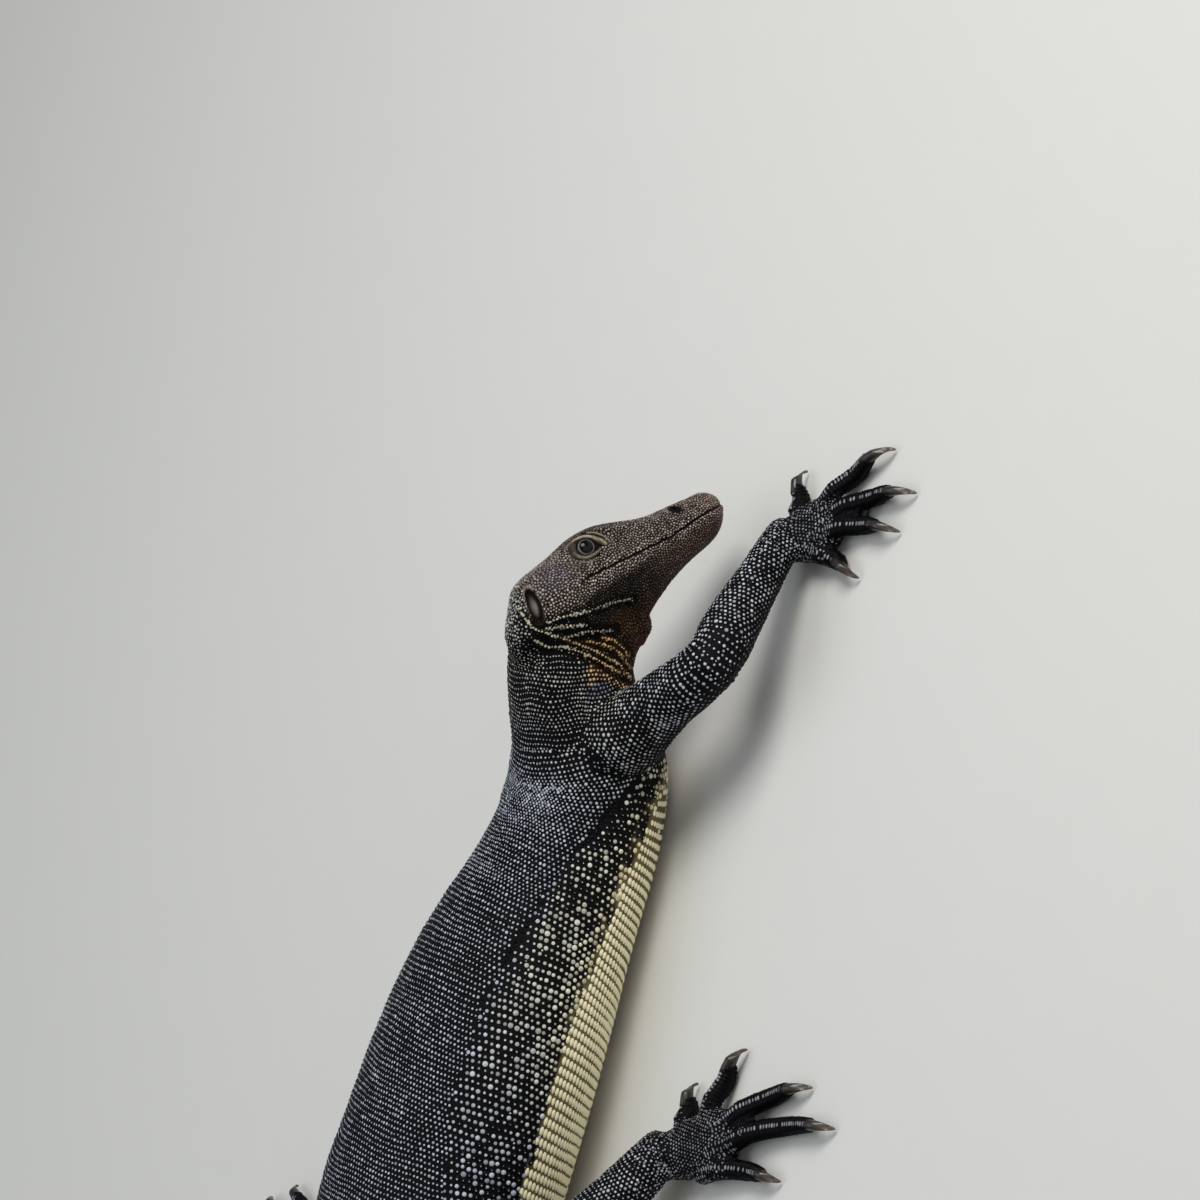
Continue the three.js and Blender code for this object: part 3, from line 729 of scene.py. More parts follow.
# kinds of rows, each a change from the usual. Steps: from row to row, by the share of the spine. Gap, long
# and wide: the room from scale to scale and the half sizes, each as a share of the step and mm more. Span:
# where the rows lie on x. Far: how far off the spine the skin may be. Rays: how finely the skin's outline is
# read. Stray and vary: shares of the gap and of the size. Drift: by how much rows wander, over what length.
# Lean: how far over the cream rows begin to lean back, by what share, and at most
rowSteps = ((0, 2.4), (0.04, 3.1), (0.3, 4.0), (0.52, 4.0), (0.62, 2.1))
rowKinds = {
    "usual": {"span": (-1000, 1000), "box": 0, "rays": 96, "stray": 0.05, "drift": (0, 1), "vary": 0.07,
              "ventral": False, "offset": True, "lean": None, "where": None},
    "tail": {"steps": rowSteps, "span": (-1000, -200), "gap": (0.6, 0.45), "long": (0.48, 0),
             "wide": (0.28, 0.2), "height": 0.4, "box": 0.6, "far": 40, "rays": 48, "stray": 0.03,
             "drift": (0.5, 16)},
    "back": {"steps": rowSteps, "span": (-200, 130), "gap": (0.95, 0), "long": (0.45, 0), "wide": (0.45, 0),
             "height": 0.42, "far": 80, "drift": (2.0, 24), "vary": 0.12, "lean": (10, 0.3, 12)},
    "flank": {"steps": ((0, 2.75),), "span": (-204, 129), "gap": (0.93, 0), "long": (0.45, 0),
              "wide": (0.45, 0), "height": 0.46, "far": 80, "drift": (2.0, 24), "vary": 0.14,
              "lean": (10, 0.3, 12)},
    "neck": {"steps": ((0, 1.75),), "span": (128, 1000), "gap": (0, 1.65), "long": (0, 0.8),
             "wide": (0, 0.78), "height": 0.36, "far": 46, "stray": 0.06, "drift": (3.0, 15), "vary": 0.14},
    "belly": {"steps": ((0.82, 4.4), (0.93, 2.9)), "span": (-208, 140), "gap": (0, 2.15), "long": (0.47, 0),
              "wide": (0, 1.15), "height": 0.5, "box": 1, "far": 80, "stray": 0.012, "drift": (0.7, 22),
              "vary": 0.04, "ventral": True, "lean": (10, 0.3, 12)},
    "limb": {"steps": ((0.45, 2.15), (1, 1.8)), "gap": (1.02, 0), "long": (0.47, 0), "wide": (0.48, 0),
             "height": 0.44, "far": 34, "rays": 60, "drift": (1.5, 13), "vary": 0.12},
    "digit": {"steps": ((0, 1.65),), "gap": (0, 2.7), "long": (0, 0.74), "wide": (0, 1.36), "height": 0.36,
              "box": 0.75, "rays": 30, "stray": 0.02, "offset": False},
    "palm": {"steps": ((0, 1.6),), "gap": (0, 1.6), "long": (0, 0.74), "wide": (0, 0.74), "height": 0.32,
             "rays": 48, "drift": (0.5, 8), "vary": 0.1},
}


def smoothLine(points, pieces=24):
    # a curve through given points, as many short steps
    points = np.asarray(points, float)
    ends = np.vstack([2 * points[0] - points[1], points, 2 * points[-1] - points[-2]])
    t = np.linspace(0, 1, pieces, endpoint=False)[:, None]
    parts = []
    for p0, p1, p2, p3 in zip(ends[:-3], ends[1:-2], ends[2:-1], ends[3:]):
        cubic = -p0 + 3 * p1 - 3 * p2 + p3
        parts.append(0.5 * (2 * p1 + (p2 - p0) * t + (2 * p0 - 5 * p1 + 4 * p2 - p3) * t**2 + cubic * t**3))
    return np.vstack(parts + [points[-1:]])


def runOf(line):
    # the way along a line to each of its points
    return np.concatenate([[0], np.cumsum(np.linalg.norm(np.diff(line, axis=0), axis=1))])


def lengthOf(line):
    return np.linalg.norm(np.diff(line, axis=0), axis=1).sum()


def pickAlong(where, run, line):
    return np.column_stack([np.interp(where, run, line[:, k]) for k in range(3)])


def stationsOn(line, stepAt):
    # row centres along a curve, and the way it runs there; stepAt(share) is the distance to the next row
    run = runOf(line)
    at, places = 0.0, []
    while at < run[-1]:
        places.append(at)
        at += stepAt(at / run[-1])
    places = np.array(places)
    ways = unit(pickAlong(places + 1.5, run, line) - pickAlong(places - 1.5, run, line))
    return pickAlong(places, run, line), ways, places / run[-1]


def tailLine():
    tail = trunkLine["tail"]
    share = np.linspace(1, 0, 60)
    high = tail["high"] * (0.92 * (1 - share) ** 0.95 + 0.05)
    y = tail["swing"] * np.sin(share * 2 * math.pi * 0.92) * smooth(share, 0, 0.3)
    return np.column_stack([tail["start"] - share * tail["length"], y, high - 0.42])


def palmFrame(limb):
    side = limb["side"]
    turn = math.radians(limb["heading"]) * side
    along = np.array((math.cos(turn), math.sin(turn)))
    return turn, along, np.array((-along[1], along[0])) * side


def digitLine(limb, size, digit):
    # the middle of a finger or toe from its root to its claw, which way it points at its end, and its tip
    angle, length, _, ahead, across = digit
    turn, along, out = palmFrame(limb)
    root = np.array(limb["joints"][2][:2]) + along * ahead + out * across
    curl = math.radians(palms["curl"]) * limb["side"]
    first = turn + math.radians(angle - palms["curl"] / 2) * limb["side"]
    r, tip = size["radius"], size["tip"]
    share = np.linspace(-0.1, 1.03, 30)
    bend = first + curl * share
    x = root[0] + length / curl * (np.sin(bend) - math.sin(first))
    y = root[1] + length / curl * (math.cos(first) - np.cos(bend))
    heights = (r + 1.2, r + 1.8, r + 2.6, r - 0.1, tip - 1.2, tip, tip)
    z = np.interp(share, (-0.16, 0.06, 0.34, 0.62, 0.84, 1.0, 1.1), heights)
    end = first + curl
    tipX = root[0] + length / curl * (math.sin(end) - math.sin(first))
    tipY = root[1] + length / curl * (math.cos(first) - math.cos(end))
    return np.column_stack([x, y, z]), end, np.array((tipX, tipY, tip))


class Coat:
    # all scales: where each sits, how it lies and how it looks
    def __init__(self, skin):
        points = readPoints(skin) / mm
        faces = [tuple(face.vertices) for face in skin.data.polygons]
        self.tree = BVHTree.FromPolygons(points.tolist(), faces)
        self.faces, self.points, self.normals = faces, points, readNormals(skin)
        self.regions = {}

    def add(self, region, **values):
        self.regions.setdefault(region, []).append(values)

    def snap(self, places):
        # each place moved onto the skin, with the skin's smooth normal there
        put, normals = np.empty_like(places), np.empty_like(places)
        for k, place in enumerate(places):
            spot, _, face, _ = self.tree.find_nearest(Vector(place))
            put[k] = spot
            corners = list(self.faces[face])
            weight = 1 / (0.05 + np.linalg.norm(self.points[corners] - np.array(spot), axis=1))
            normals[k] = weight @ self.normals[corners]
        return put, unit(normals)

    def section(self, centre, way, owners, far, rays):
        # the skin's outline round a spine: angle from the top, place, and whether it is the owners' own skin
        up = np.array((0, 0, 1.0))
        up = up - way * (up @ way)
        up /= np.linalg.norm(up)
        left = np.cross(up, way)
        angle = np.linspace(-math.pi, math.pi, rays + 1)
        ways = np.outer(np.cos(angle), up) + np.outer(np.sin(angle), left)
        reach = np.full(rays + 1, np.nan)
        for k, ray in enumerate(ways):
            spot = self.tree.ray_cast(Vector(centre), Vector(ray), far)[0]
            if spot is not None and ownerOf(spot * mm).startswith(owners):
                reach[k] = (spot - Vector(centre)).length
        own = ~np.isnan(reach)
        if own.sum() < rays * 0.12:
            return None
        reach = np.interp(angle, angle[own], reach[own], period=2 * math.pi)
        return angle, centre + ways * reach[:, None], own

    def row(self, region, number, centre, way, step, share, form):
        # one row of scales round a spine; form says what the scales are like and where the row may lie
        found = self.section(centre, way, form["owners"], form["far"], form["rays"])
        if found is None:
            return
        angle, outline, own = found
        half, stray = len(angle) // 2, form["stray"]
        gap, long, wide = (part * step + more for part, more in (form["gap"], form["long"], form["wide"]))
        places, girths, around = [], [], 0.0
        for side in (1, -1):
            picked = slice(half, None, side)
            ring, turn, mine = outline[picked], np.degrees(np.abs(angle[picked])), own[picked]
            run = runOf(ring)
            around += run[-1]
            steps = (np.arange(int(run[-1] / gap) + 1) + (number % 2) / 2) * gap
            if form["ventral"]:
                steps = run[-1] - steps
            steps = steps[1 - (number % 2) if side == 1 else 0 :]
            steps = steps[(steps >= 0) & (steps <= run[-1])]
            steps = steps + dice.normal(0, stray * gap, len(steps))
            place = pickAlong(steps, run, ring)
            keep = np.interp(steps, run, mine.astype(float)) > 0.99
            if form["where"] and len(place):
                keep &= form["where"](place)
            places.append(place[keep])
            girths.append(np.interp(steps, run, turn)[keep] * side)
        places, girth = np.vstack(places), np.concatenate(girths)
        if not len(places):
            return
        count = len(places)
        if form["lean"]:
            above, part, most = form["lean"]
            back = np.maximum(creamHeight(places[:, 0]) + above - places[:, 2], 0) * part
            places = places - np.outer(np.minimum(back, most), way)
        drift, wave = form["drift"]
        if drift:
            places = places + drift * np.array([noise.noise_vector(Vector(place / wave)) for place in places])
        places = places + np.outer(dice.normal(0, stray * step, count), way)
        vary = 1 + dice.normal(0, form["vary"], (count, 1))
        self.add(
            region, place=places, along=np.tile(way, (count, 1)), girth=girth, share=np.full(count, share),
            half=np.tile((long, wide), (count, 1)) * vary, height=np.full(count, form["height"]) * vary[:, 0],
            box=np.full(count, float(form["box"])), gap=np.full(count, gap), bead=np.zeros(count),
            rate=np.tile((form["rate"], 360 / around), (count, 1)),
        )

    def rows(self, region, kind, line, owners, rate, shareAt=float, **more):
        # all rows of a kind along a spine; rate is how much of the region's length a millimetre is
        form = {**rowKinds["usual"], **rowKinds[kind], "owners": owners, "rate": rate, **more}
        low, high = form["span"]

        def stepAt(share):
            return float(follow(share, form["steps"]))

        for number, (centre, way, share) in enumerate(zip(*stationsOn(line, stepAt))):
            if low < centre[0] < high:
                self.row(region, number * form["offset"], centre, way, stepAt(share), shareAt(share), form)

    def whole(self, key):
        return np.concatenate([scales[key] for scales in self.regions.values()])

    def gather(self):
        # the batches of each region as one array for each field
        for region, batches in self.regions.items():
            self.regions[region] = {key: np.concatenate([b[key] for b in batches]) for key in batches[0]}
            scales = self.regions[region]
            scales["place"], scales["normal"] = self.snap(scales["place"])


def layTrunk(coat):
    line = smoothLine(np.vstack([tailLine()[:-1:6], trunkLine["body"]]))
    rate = 1 / lengthOf(line)
    coat.rows("tail", "tail", line, "tail", rate)
    coat.rows("back", "back", line, trunkNames, rate, where=lambda p: p[:, 2] > flankTop(p[:, 0]))
    coat.rows("back", "flank", line, trunkNames, rate,
              where=lambda p: (p[:, 2] > creamHeight(p[:, 0])) & (p[:, 2] <= flankTop(p[:, 0])))
    neck = smoothLine(trunkLine["body"])
    coat.rows("neck", "neck", neck, ("neck", "torso"), 1 / 370, lambda share: 0.9 + share / 10)
    coat.rows("belly", "belly", line, trunkNames, rate, where=lambda p: p[:, 2] <= creamHeight(p[:, 0]))


def nearCells(cells, cell):
    # what lies in a cell of a grid and in the cells next to it
    for dx in (-1, 0, 1):
        for dy in (-1, 0, 1):
            for dz in (-1, 0, 1):
                yield from cells.get((cell[0] + dx, cell[1] + dy, cell[2] + dz), ())


def scatterHead(coat):
    # scales at even but irregular places: thrown on the skin, pushed apart and put back on it
    corners = coat.points[np.array([face[:3] for face in coat.faces])]
    middles = corners.mean(1)
    near = np.nonzero(nearHead(middles * mm) | (middles[:, 0] > 150))[0]
    mine = near[[ownerOf(middles[k] * mm) in headNames for k in near]]
    sides = corners[mine, 1:] - corners[mine, :1]
    area = 0.5 * np.linalg.norm(np.cross(sides[:, 0], sides[:, 1]), axis=1)
    chance = area / headGap(middles[mine]) ** 2
    throws = int(chance.sum() * headLine["throws"])
    picked = dice.choice(len(mine), throws, p=chance / chance.sum())
    u, v = dice.uniform(0, 1, (2, throws))
    u, v = np.where(u + v > 1, 1 - u, u), np.where(u + v > 1, 1 - v, v)
    spots = corners[mine[picked], 0] + sides[picked, 0] * u[:, None] + sides[picked, 1] * v[:, None]
    gaps = headGap(spots)
    cells, kept = {}, []
    for k, (spot, gap) in enumerate(zip(spots, gaps)):
        cell = tuple((spot // headLine["cell"]).astype(int))
        least = (headLine["apart"] * gap) ** 2
        if all((spot[0] - p[0]) ** 2 + (spot[1] - p[1]) ** 2 + (spot[2] - p[2]) ** 2 > least
               for p in nearCells(cells, cell)):
            cells.setdefault(cell, []).append(spot)
            kept.append(k)
    spots, gaps = spots[kept], gaps[kept]
    for _ in range(headLine["rounds"]):
        tree, moved, room = treeOf(spots), spots.copy(), gaps * headLine["reach"]
        for k, spot in enumerate(spots):
            for other, index, apart in tree.find_range(spot, room[k]):
                if index != k and apart > 0:
                    moved[k] += (spot - np.array(other)) / apart * (room[k] - apart) * headLine["push"]
        spots, _ = coat.snap(moved)
        gaps = headGap(spots)
    return spots, gaps


def headUnrolled(q):
    # where a scale of the head lies on the head unrolled: along it, and the angle round it
    middle = follow(q[:, 0], headLine["middle"])
    return q[:, 0] / headLine["length"], np.degrees(np.arctan2(q[:, 1], q[:, 2] - middle))


def headGap(places):
    # how far apart scales sit on the head: fine on the snout and round the eye, coarser to nape and throat
    q = toHead(places * mm)
    size, more = headLine["patches"]
    gap = follow(q[:, 0], headLine["gaps"]) + headLine["throat"] * smooth(-q[:, 2], 12, 26)
    return gap * (1 + more * patchy(places, size))


def layHead(coat):
    places, gaps = scatterHead(coat)
    count = len(places)
    share, girth = headUnrolled(toHead(places * mm))
    size, turn = headLine["swirl"]
    along = headAxes[:, 0][None] + turn * patchy(places, size)[:, None] * headAxes[:, 2][None]
    vary = 1 + dice.normal(0, headLine["vary"], (count, 2))
    coat.add(
        "head", place=places, along=along, girth=girth, share=share,
        half=gaps[:, None] * np.array(headLine["half"]) * vary, height=gaps * headLine["height"] * vary[:, 0],
        box=np.zeros(count), gap=gaps, bead=np.zeros(count),
        rate=np.tile((1 / headLine["length"], headLine["round"]), (count, 1)),
    )


def besideFold(coat, x, z, side):
    # the skin of head or neck beside a fold's point, past any limb in the way, and whose skin it is
    start = fromHead([(x, side * 70, z)])[0] / mm
    way = -side * headAxes[:, 1]
    while True:
        hit = coat.tree.ray_cast(Vector(start), Vector(way), 90)[0]
        if hit is None:
            return None, ""
        name = ownerOf(hit * mm)
        if name in headNames + ("neck", "torso"):
            return np.array(hit), name
        start = np.array(hit) + way * 0.5


def layFolds(coat):
    # a line of beads along the crest of each throat fold, on both sides of the neck
    for index, fold in enumerate(throat["folds"]):
        line = smoothLine([(x, 0, z) for x, z in fold["line"]], 8)
        spots, _, _ = stationsOn(line, lambda share: throat["bead"])
        for side in (1, -1):
            for x, _, z in spots:
                place, name = besideFold(coat, x, z + dice.normal(0, throat["bead vary"]), side)
                if place is None:
                    continue
                q = toHead(place[None] * mm)
                if q[0, 1] * side < throat["bead from"]:
                    continue
                region = "head" if name in headNames else "neck"
                share, girth = headUnrolled(q)
                if region == "neck":
                    share = np.array([0.97 + index * 0.004])
                size = throat["bead"] * throat["bead half"] * (1 + dice.normal(0, throat["bead vary"]))
                coat.add(
                    region, place=place[None], along=headAxes[:, 0][None], girth=girth, share=share,
                    half=np.array([[size, size * 0.94]]), height=np.array([throat["bead height"]]),
                    box=np.zeros(1), gap=np.array([throat["bead"]]), bead=np.ones(1),
                    rate=np.array([[1 / headLine["length"], headLine["round"]]]),
                )


def layLimb(coat, name):
    limb = limbLines[name]
    kind, side = name.split("_")
    shoulder, elbow, wrist = (np.array(joint, float) for joint in limb["joints"])
    _, along, _ = palmFrame(limb)
    size = palms[kind]
    owners = tuple(f"{owner}_{side}" for owner in limbNames[kind])
    after = wrist + np.array((*along, 0)) * 8 - np.array((0, 0, 3.0))
    line = smoothLine([shoulder, (shoulder + elbow) / 2, elbow, (elbow + wrist) / 2, wrist, after])
    # on the coat unrolled the limb has shares 0 to 0.6, and the palm and the digits have the rest
    coat.rows(name, "limb", line, owners, 0.6 / lengthOf(line), lambda share: share * 0.6)
    for index, digit in enumerate(size["digits"]):
        coat.rows(name, "digit", digitLine(limb, size, digit)[0], owners, 0.06 / digit[1],
                  lambda share: 0.7 + (index + share) * 0.06, far=size["radius"] * 1.5)
    form = {**rowKinds["usual"], **rowKinds["palm"], "owners": owners}
    form["rate"], form["far"] = 1 / 400, size["wide"] * 1.35
    step = form["steps"][0][1]
    for number, ahead in enumerate(np.arange(-2, size["reach"] + 8, step)):
        centre = np.array((*(wrist[:2] + along * ahead), np.interp(ahead, (0, 10, 30), (10, 7, 5.5))))
        coat.row(name, number, centre, np.array((*along, 0.0)), step, 0.6 + ahead / 400, form)


def openPlaces(places):
    # where no scale grows: in the eye and on its lids' crests, in the mouth line, the nostril and the ear
    q = mirroredHead(places * mm)
    a, b, _, ring, _ = eyeSpace(q)
    onMouth = (np.abs(overMouth(q)) < 0.62) & (q[:, 0] > 23) & (q[:, 0] < 97)
    near = (np.abs(q[:, 2]) < 40) & (q[:, 1] < 32) & (q[:, 0] > -12)
    corner = (a > 0) & (b > 0.4) & (ring < 2.35)
    onEye = ((ring < 1.7) | corner | (lidCrests(a, b, ring) > 0.35)) & (q[:, 1] > 9)
    onNose = (ovalSpace(q, nostril) < 1.1) & (q[:, 1] > 4)
    onEar = (ovalSpace(q, ear) < 1.2) & (q[:, 1] > 9)
    return near & (onMouth | onEye | onNose | onEar)


crowd = {"look": 2.4, "least": 0.71}  # how far round a scale to look, and what share of their room two keep


def thinOut(coat):
    # drop scales that crowd an earlier one, and those in openings
    places, bead = coat.whole("place"), coat.whole("bead")
    room = coat.whole("gap") * 0.5 + coat.whole("half").mean(1) * 0.5
    tree = treeOf(places)
    alive = ~openPlaces(places)
    first = np.concatenate([np.nonzero(bead > 0)[0], np.nonzero(bead == 0)[0]])
    turn = np.empty(len(first), int)
    turn[first] = np.arange(len(first))
    for k in first:
        if alive[k]:
            for _, other, apart in tree.find_range(places[k], crowd["look"]):
                crowded = apart < crowd["least"] * min(room[k], room[other])
                if crowded and turn[other] > turn[k]:
                    alive[other] = False
    start = 0
    for region, scales in coat.regions.items():
        keep = alive[start : start + len(scales["gap"])]
        start += len(keep)
        coat.regions[region] = {key: value[keep] for key, value in scales.items()}


# gaps that are filled, by region, and never under the least; a new scale is as wide as the room there is,
# within two shares of the gap
filling = {
    "gaps": {"tail": 2.1, "belly": 2.4, "back": 1.65, "neck": 1.2, "head": 1.15, "arm": 1.6, "leg": 1.45},
    "least": 1.2, "cell": 3.2, "apart": 0.95, "inset": 0.9, "sizes": (0.4, 0.62),
    "vary": (0.92, 1.08), "box": 0.4, "height": 0.8,  # against the scales beside them
}


def regionOf(name, place):
    if name in headNames:
        return "head"
    if name.startswith("tail"):
        return "tail"
    for limb, names in limbNames.items():
        if bareName(name) in names:
            return limb + "_" + ("right" if name.endswith("right") else "left")
    if name == "neck" and place[0] > 126:
        return "neck"
    return "back" if place[2] > creamHeight(place[0]) else "belly"


def fillHoles(coat):
    # small scales wherever the rows left bare skin, sized to the room there is
    sizes = coat.whole("half").mean(1)
    tree = treeOf(coat.whole("place"))
    closed = openPlaces(coat.points)
    smallest, largest = filling["sizes"]
    cells, added = {}, {region: ([], []) for region in coat.regions}
    for k in dice.permutation(len(coat.points)):
        place = coat.points[k]
        if closed[k]:
            continue
        _, nearest, apart = tree.find(place)
        if apart < filling["least"]:
            continue
        region = regionOf(ownerOf(place * mm), place)
        gap = filling["gaps"][region.split("_")[0]]
        if apart < gap:
            continue
        cell = tuple(np.floor(place / filling["cell"]).astype(int))
        close = list(nearCells(cells, cell))
        if close and np.linalg.norm(np.array(close) - place, axis=1).min() < filling["apart"] * gap:
            continue
        cells.setdefault(cell, []).append(place)
        added[region][0].append(k)
        free = apart - filling["inset"] * sizes[nearest]
        added[region][1].append(min(max(free, smallest * gap), largest * gap))
    for region, (picked, reach) in added.items():
        if not picked:
            continue
        scales = coat.regions[region]
        picked, reach = np.array(picked), np.array(reach)
        near = treeOf(scales["place"])
        like = np.array([near.find(coat.points[k])[1] for k in picked])
        more = {key: value[like] for key, value in scales.items()}
        shift = coat.points[picked] - more["place"]
        ahead = unit(more["along"] - (more["along"] * more["normal"]).sum(1, keepdims=True) * more["normal"])
        across = np.cross(more["normal"], ahead)
        more["share"] = more["share"] + (shift * ahead).sum(1) * more["rate"][:, 0]
        more["girth"] = more["girth"] + (shift * across).sum(1) * more["rate"][:, 1]
        more["place"], more["normal"] = coat.points[picked], coat.normals[picked]
        more["half"] = reach[:, None] * dice.uniform(*filling["vary"], (len(picked), 2))
        more["box"], more["height"] = more["box"] * filling["box"], more["height"] * filling["height"]
        more["bead"] = np.full(len(picked), -1.0)
        coat.regions[region] = {key: np.concatenate([scales[key], more[key]]) for key in scales}
    print("scales added in gaps", {region: len(found[0]) for region, found in added.items()})


# colours of the coat as they look in flat light, except the painted light noted where each is used: a painted
# sheen behind the eye, and painted shade and highlight on the ear, mouth line and nostril
colours = {
    "black": (11, 11, 17), "black gap": (5, 5, 7), "back spot": (200, 206, 220),
    "flank spot": (226, 224, 204), "neck spot": (212, 210, 200), "arm spot": (210, 214, 222),
    "hand spot": (158, 162, 168), "tail spot": (168, 166, 142), "band": (196, 184, 134),
    "cream": (236, 216, 162), "cream spot": (252, 242, 202), "cream gap": (54, 42, 27),
    "tan": (138, 98, 58), "tan spot": (238, 196, 134), "bead": (216, 210, 186), "groove": (17, 12, 10),
    "net": (238, 212, 160), "patch": (64, 64, 78), "patch spot": (150, 150, 166), "throat": (60, 42, 32),
    "throat spot": (116, 86, 64), "head gap": (16, 13, 12),
    "snout": (58, 50, 46), "snout spot": (186, 172, 160), "crown": (44, 40, 37),
    "crown spot": (140, 130, 120), "temple": (84, 76, 76), "temple spot": (170, 160, 162),
    "cheek": (24, 20, 18), "cheek spot": (92, 82, 72), "stripe": (66, 56, 50), "stripe spot": (214, 202, 186),
    "jaw": (76, 60, 52), "jaw spot": (160, 136, 120), "tip": (116, 96, 86), "tip spot": (190, 166, 150),
    # in the skin: the lids' dark colour is also painted shade in the ear's pit, drum is the drum's own grey
    # with a painted highlight low in the ear, and mouth is painted shade in the mouth line and the nostril
    "lid": (190, 174, 150), "lid dark": (30, 25, 23), "lid corner": (88, 77, 68), "drum": (132, 122, 120),
    "ear rim": (150, 136, 116), "mouth": (16, 11, 10),
}
# the pale rows below the eye and the grey patch behind it, which is a painted sheen, in the head's side view
headMarks = {
    "stripe": ((52, -3.5), (42, -4.8), (34, -4.6), (24, -5.2), (13, -6.6), (5, -8)), "stripe wide": 2.7,
    "temple": (13, 3.5), "temple reach": (13, 7),
}
# on the body: how much spots vary by chance, how dim the dimmest are, the share of spotless ones among the
# scales in gaps, the belly's dark bands in millimetres, and how closely the bands on the tail follow
bodyMarks = {"chance": 0.26, "dim": 0.45, "blank": 0.15, "belly band": 44, "tail band": 190}


def tint(name):
    return linear(*colours[name])


def tints(name, count):
    return np.tile(tint(name), (count, 1))


def blend(first, second, share):
    share = np.asarray(share)[:, None]
    return first * (1 - share) + second * share


def patchy(places, size):
    # slow noise over the body, from -1 to 1
    return np.array([noise.noise(Vector(place / size)) for place in places])


def dimmed(spot, chance, least):
    # some spots are greyer than others
    return spot * (least + (1 - least) * chance)[:, None]


def dressBody(scales, region):
    # the ground, the spot and the rim of each scale, and how much of it the spot covers
    count = len(scales["gap"])
    place, turned = scales["place"], np.abs(scales["girth"])
    chance = dice.uniform(0, 1, count)
    lucky = bodyMarks["chance"] * (chance - 0.5)
    slow = patchy(place, 9.0)
    ground, rim = tints("black", count), tints("black gap", count)
    front = smooth(place[:, 0] + 8 * slow, 96, 142)
    spot = blend(tints("back spot", count), tint("neck spot"), front)
    reach = 0.5 + 0.08 * slow + lucky
    if region == "back":
        # whitish spots low on the flank, sparse over the ribs and the loin, and cream down to the belly; over
        # the ribs, just behind the arm, the sparse small spots are partly real and partly painted shade
        over = place[:, 2] - creamHeight(place[:, 0])
        top = flankTop(place[:, 0]) - creamHeight(place[:, 0])
        below = 1 - smooth(over / top + 0.08 * slow, 0.82, 1.0)
        spot = blend(spot, tint("flank spot"), below * smooth(place[:, 0], -70, 60))
        rear = smooth(-place[:, 0], 30, 60) * (1 - smooth(-place[:, 0], 100, 150))
        # fewer and smaller spots behind the shoulder and over the loin; behind the arm this is partly painted
        # shade
        sparse = np.maximum(bump(place[:, 0], 96, 30), 0.75 * rear) * below
        large = np.where(chance < 0.72 * sparse, 0.16 + 0.2 * chance, 0.36 + 0.5 * chance**1.2)
        reach = reach * (1 - below) + below * large
        cream = (1 - smooth(over, 0, 5)) * (chance > 0.35) * smooth(place[:, 0], -30, 40)
        ground, spot = blend(ground, tint("cream"), cream), blend(spot, tint("cream spot"), cream)
        hem = (1 - smooth(over, 4, 16)) * smooth(place[:, 0], -60, 20)
        spot = blend(spot, tint("cream spot"), 0.55 * hem)
        # in the bottom of the flank's fold the scales get no spot, so the fold reads black: painted shade, on
        # top of the groove's own shade
        reach = np.where(flankFold(place) > 0.42, -1, reach + 0.1 * hem)
    if region == "neck":
        reach = 0.46 + 0.1 * slow + 0.24 * (chance - 0.5)
    if region == "belly":
        ground, spot, rim = (tints(name, count) for name in ("cream", "cream spot", "cream gap"))
        reach = 0.9 + 0.06 * (chance - 0.5)
        band = 0.5 + 0.5 * np.sin(place[:, 0] / bodyMarks["belly band"] * 2 * math.pi + 0.6 * slow)
        under = smooth(turned, 128, 160) * smooth(band, 0.7, 0.95)
        ground, spot = blend(ground, tint("black"), 0.6 * under), blend(spot, tint("black"), 0.5 * under)
    if region == "tail":
        pale = smooth(np.sin(scales["share"] * bodyMarks["tail band"] + 0.8 * patchy(place, 30.0)), 0.35, 0.9)
        far = smooth(-place[:, 0] + 10 * slow, 200, 290)
        spot = blend(tints("back spot", count), tint("tail spot"), far)
        spot = blend(spot, tint("band"), pale * (0.4 + 0.6 * far))
        reach = 0.4 - 0.06 * far + 0.32 * pale + lucky
        under = smooth(turned, 118, 140)
        ground, spot = blend(ground, tint("cream"), under * 0.7), blend(spot, tint("cream spot"), under)
    if region.startswith(("arm", "leg")):
        shoulder = front * (1 - smooth(scales["share"], 0, 0.2))
        end = smooth(scales["share"], 0.52, 0.62)
        spot = blend(blend(tints("arm spot", count), spot, shoulder), tint("hand spot"), end)
        reach = 0.5 + 0.1 * slow + 0.4 * (chance - 0.5) - 0.06 * end
        # digits have pale plates along their tops only, beyond the knuckles
        digit = scales["share"] > 0.695
        beyond = digit & ((scales["share"] - 0.7) / 0.06 % 1 > 0.26)
        reach = np.where(beyond, np.where((turned < 20) & (chance > 0.08), 0.62, -1), reach)
        # on the underside of each limb the spots are smaller and dimmer: painted shade
        under = smooth(turned, 92, 122) * (1 - end)
        reach, spot = reach * (1 - 0.4 * under), dimmed(spot, 1 - under, 0.5)
    if region != "belly":
        spot = dimmed(spot, dice.uniform(0, 1, count), bodyMarks["dim"])
    inGap = np.where(chance < bodyMarks["blank"], -1, reach * 0.9)
    return ground, spot, rim, np.where(scales["bead"] < 0, inGap, reach)


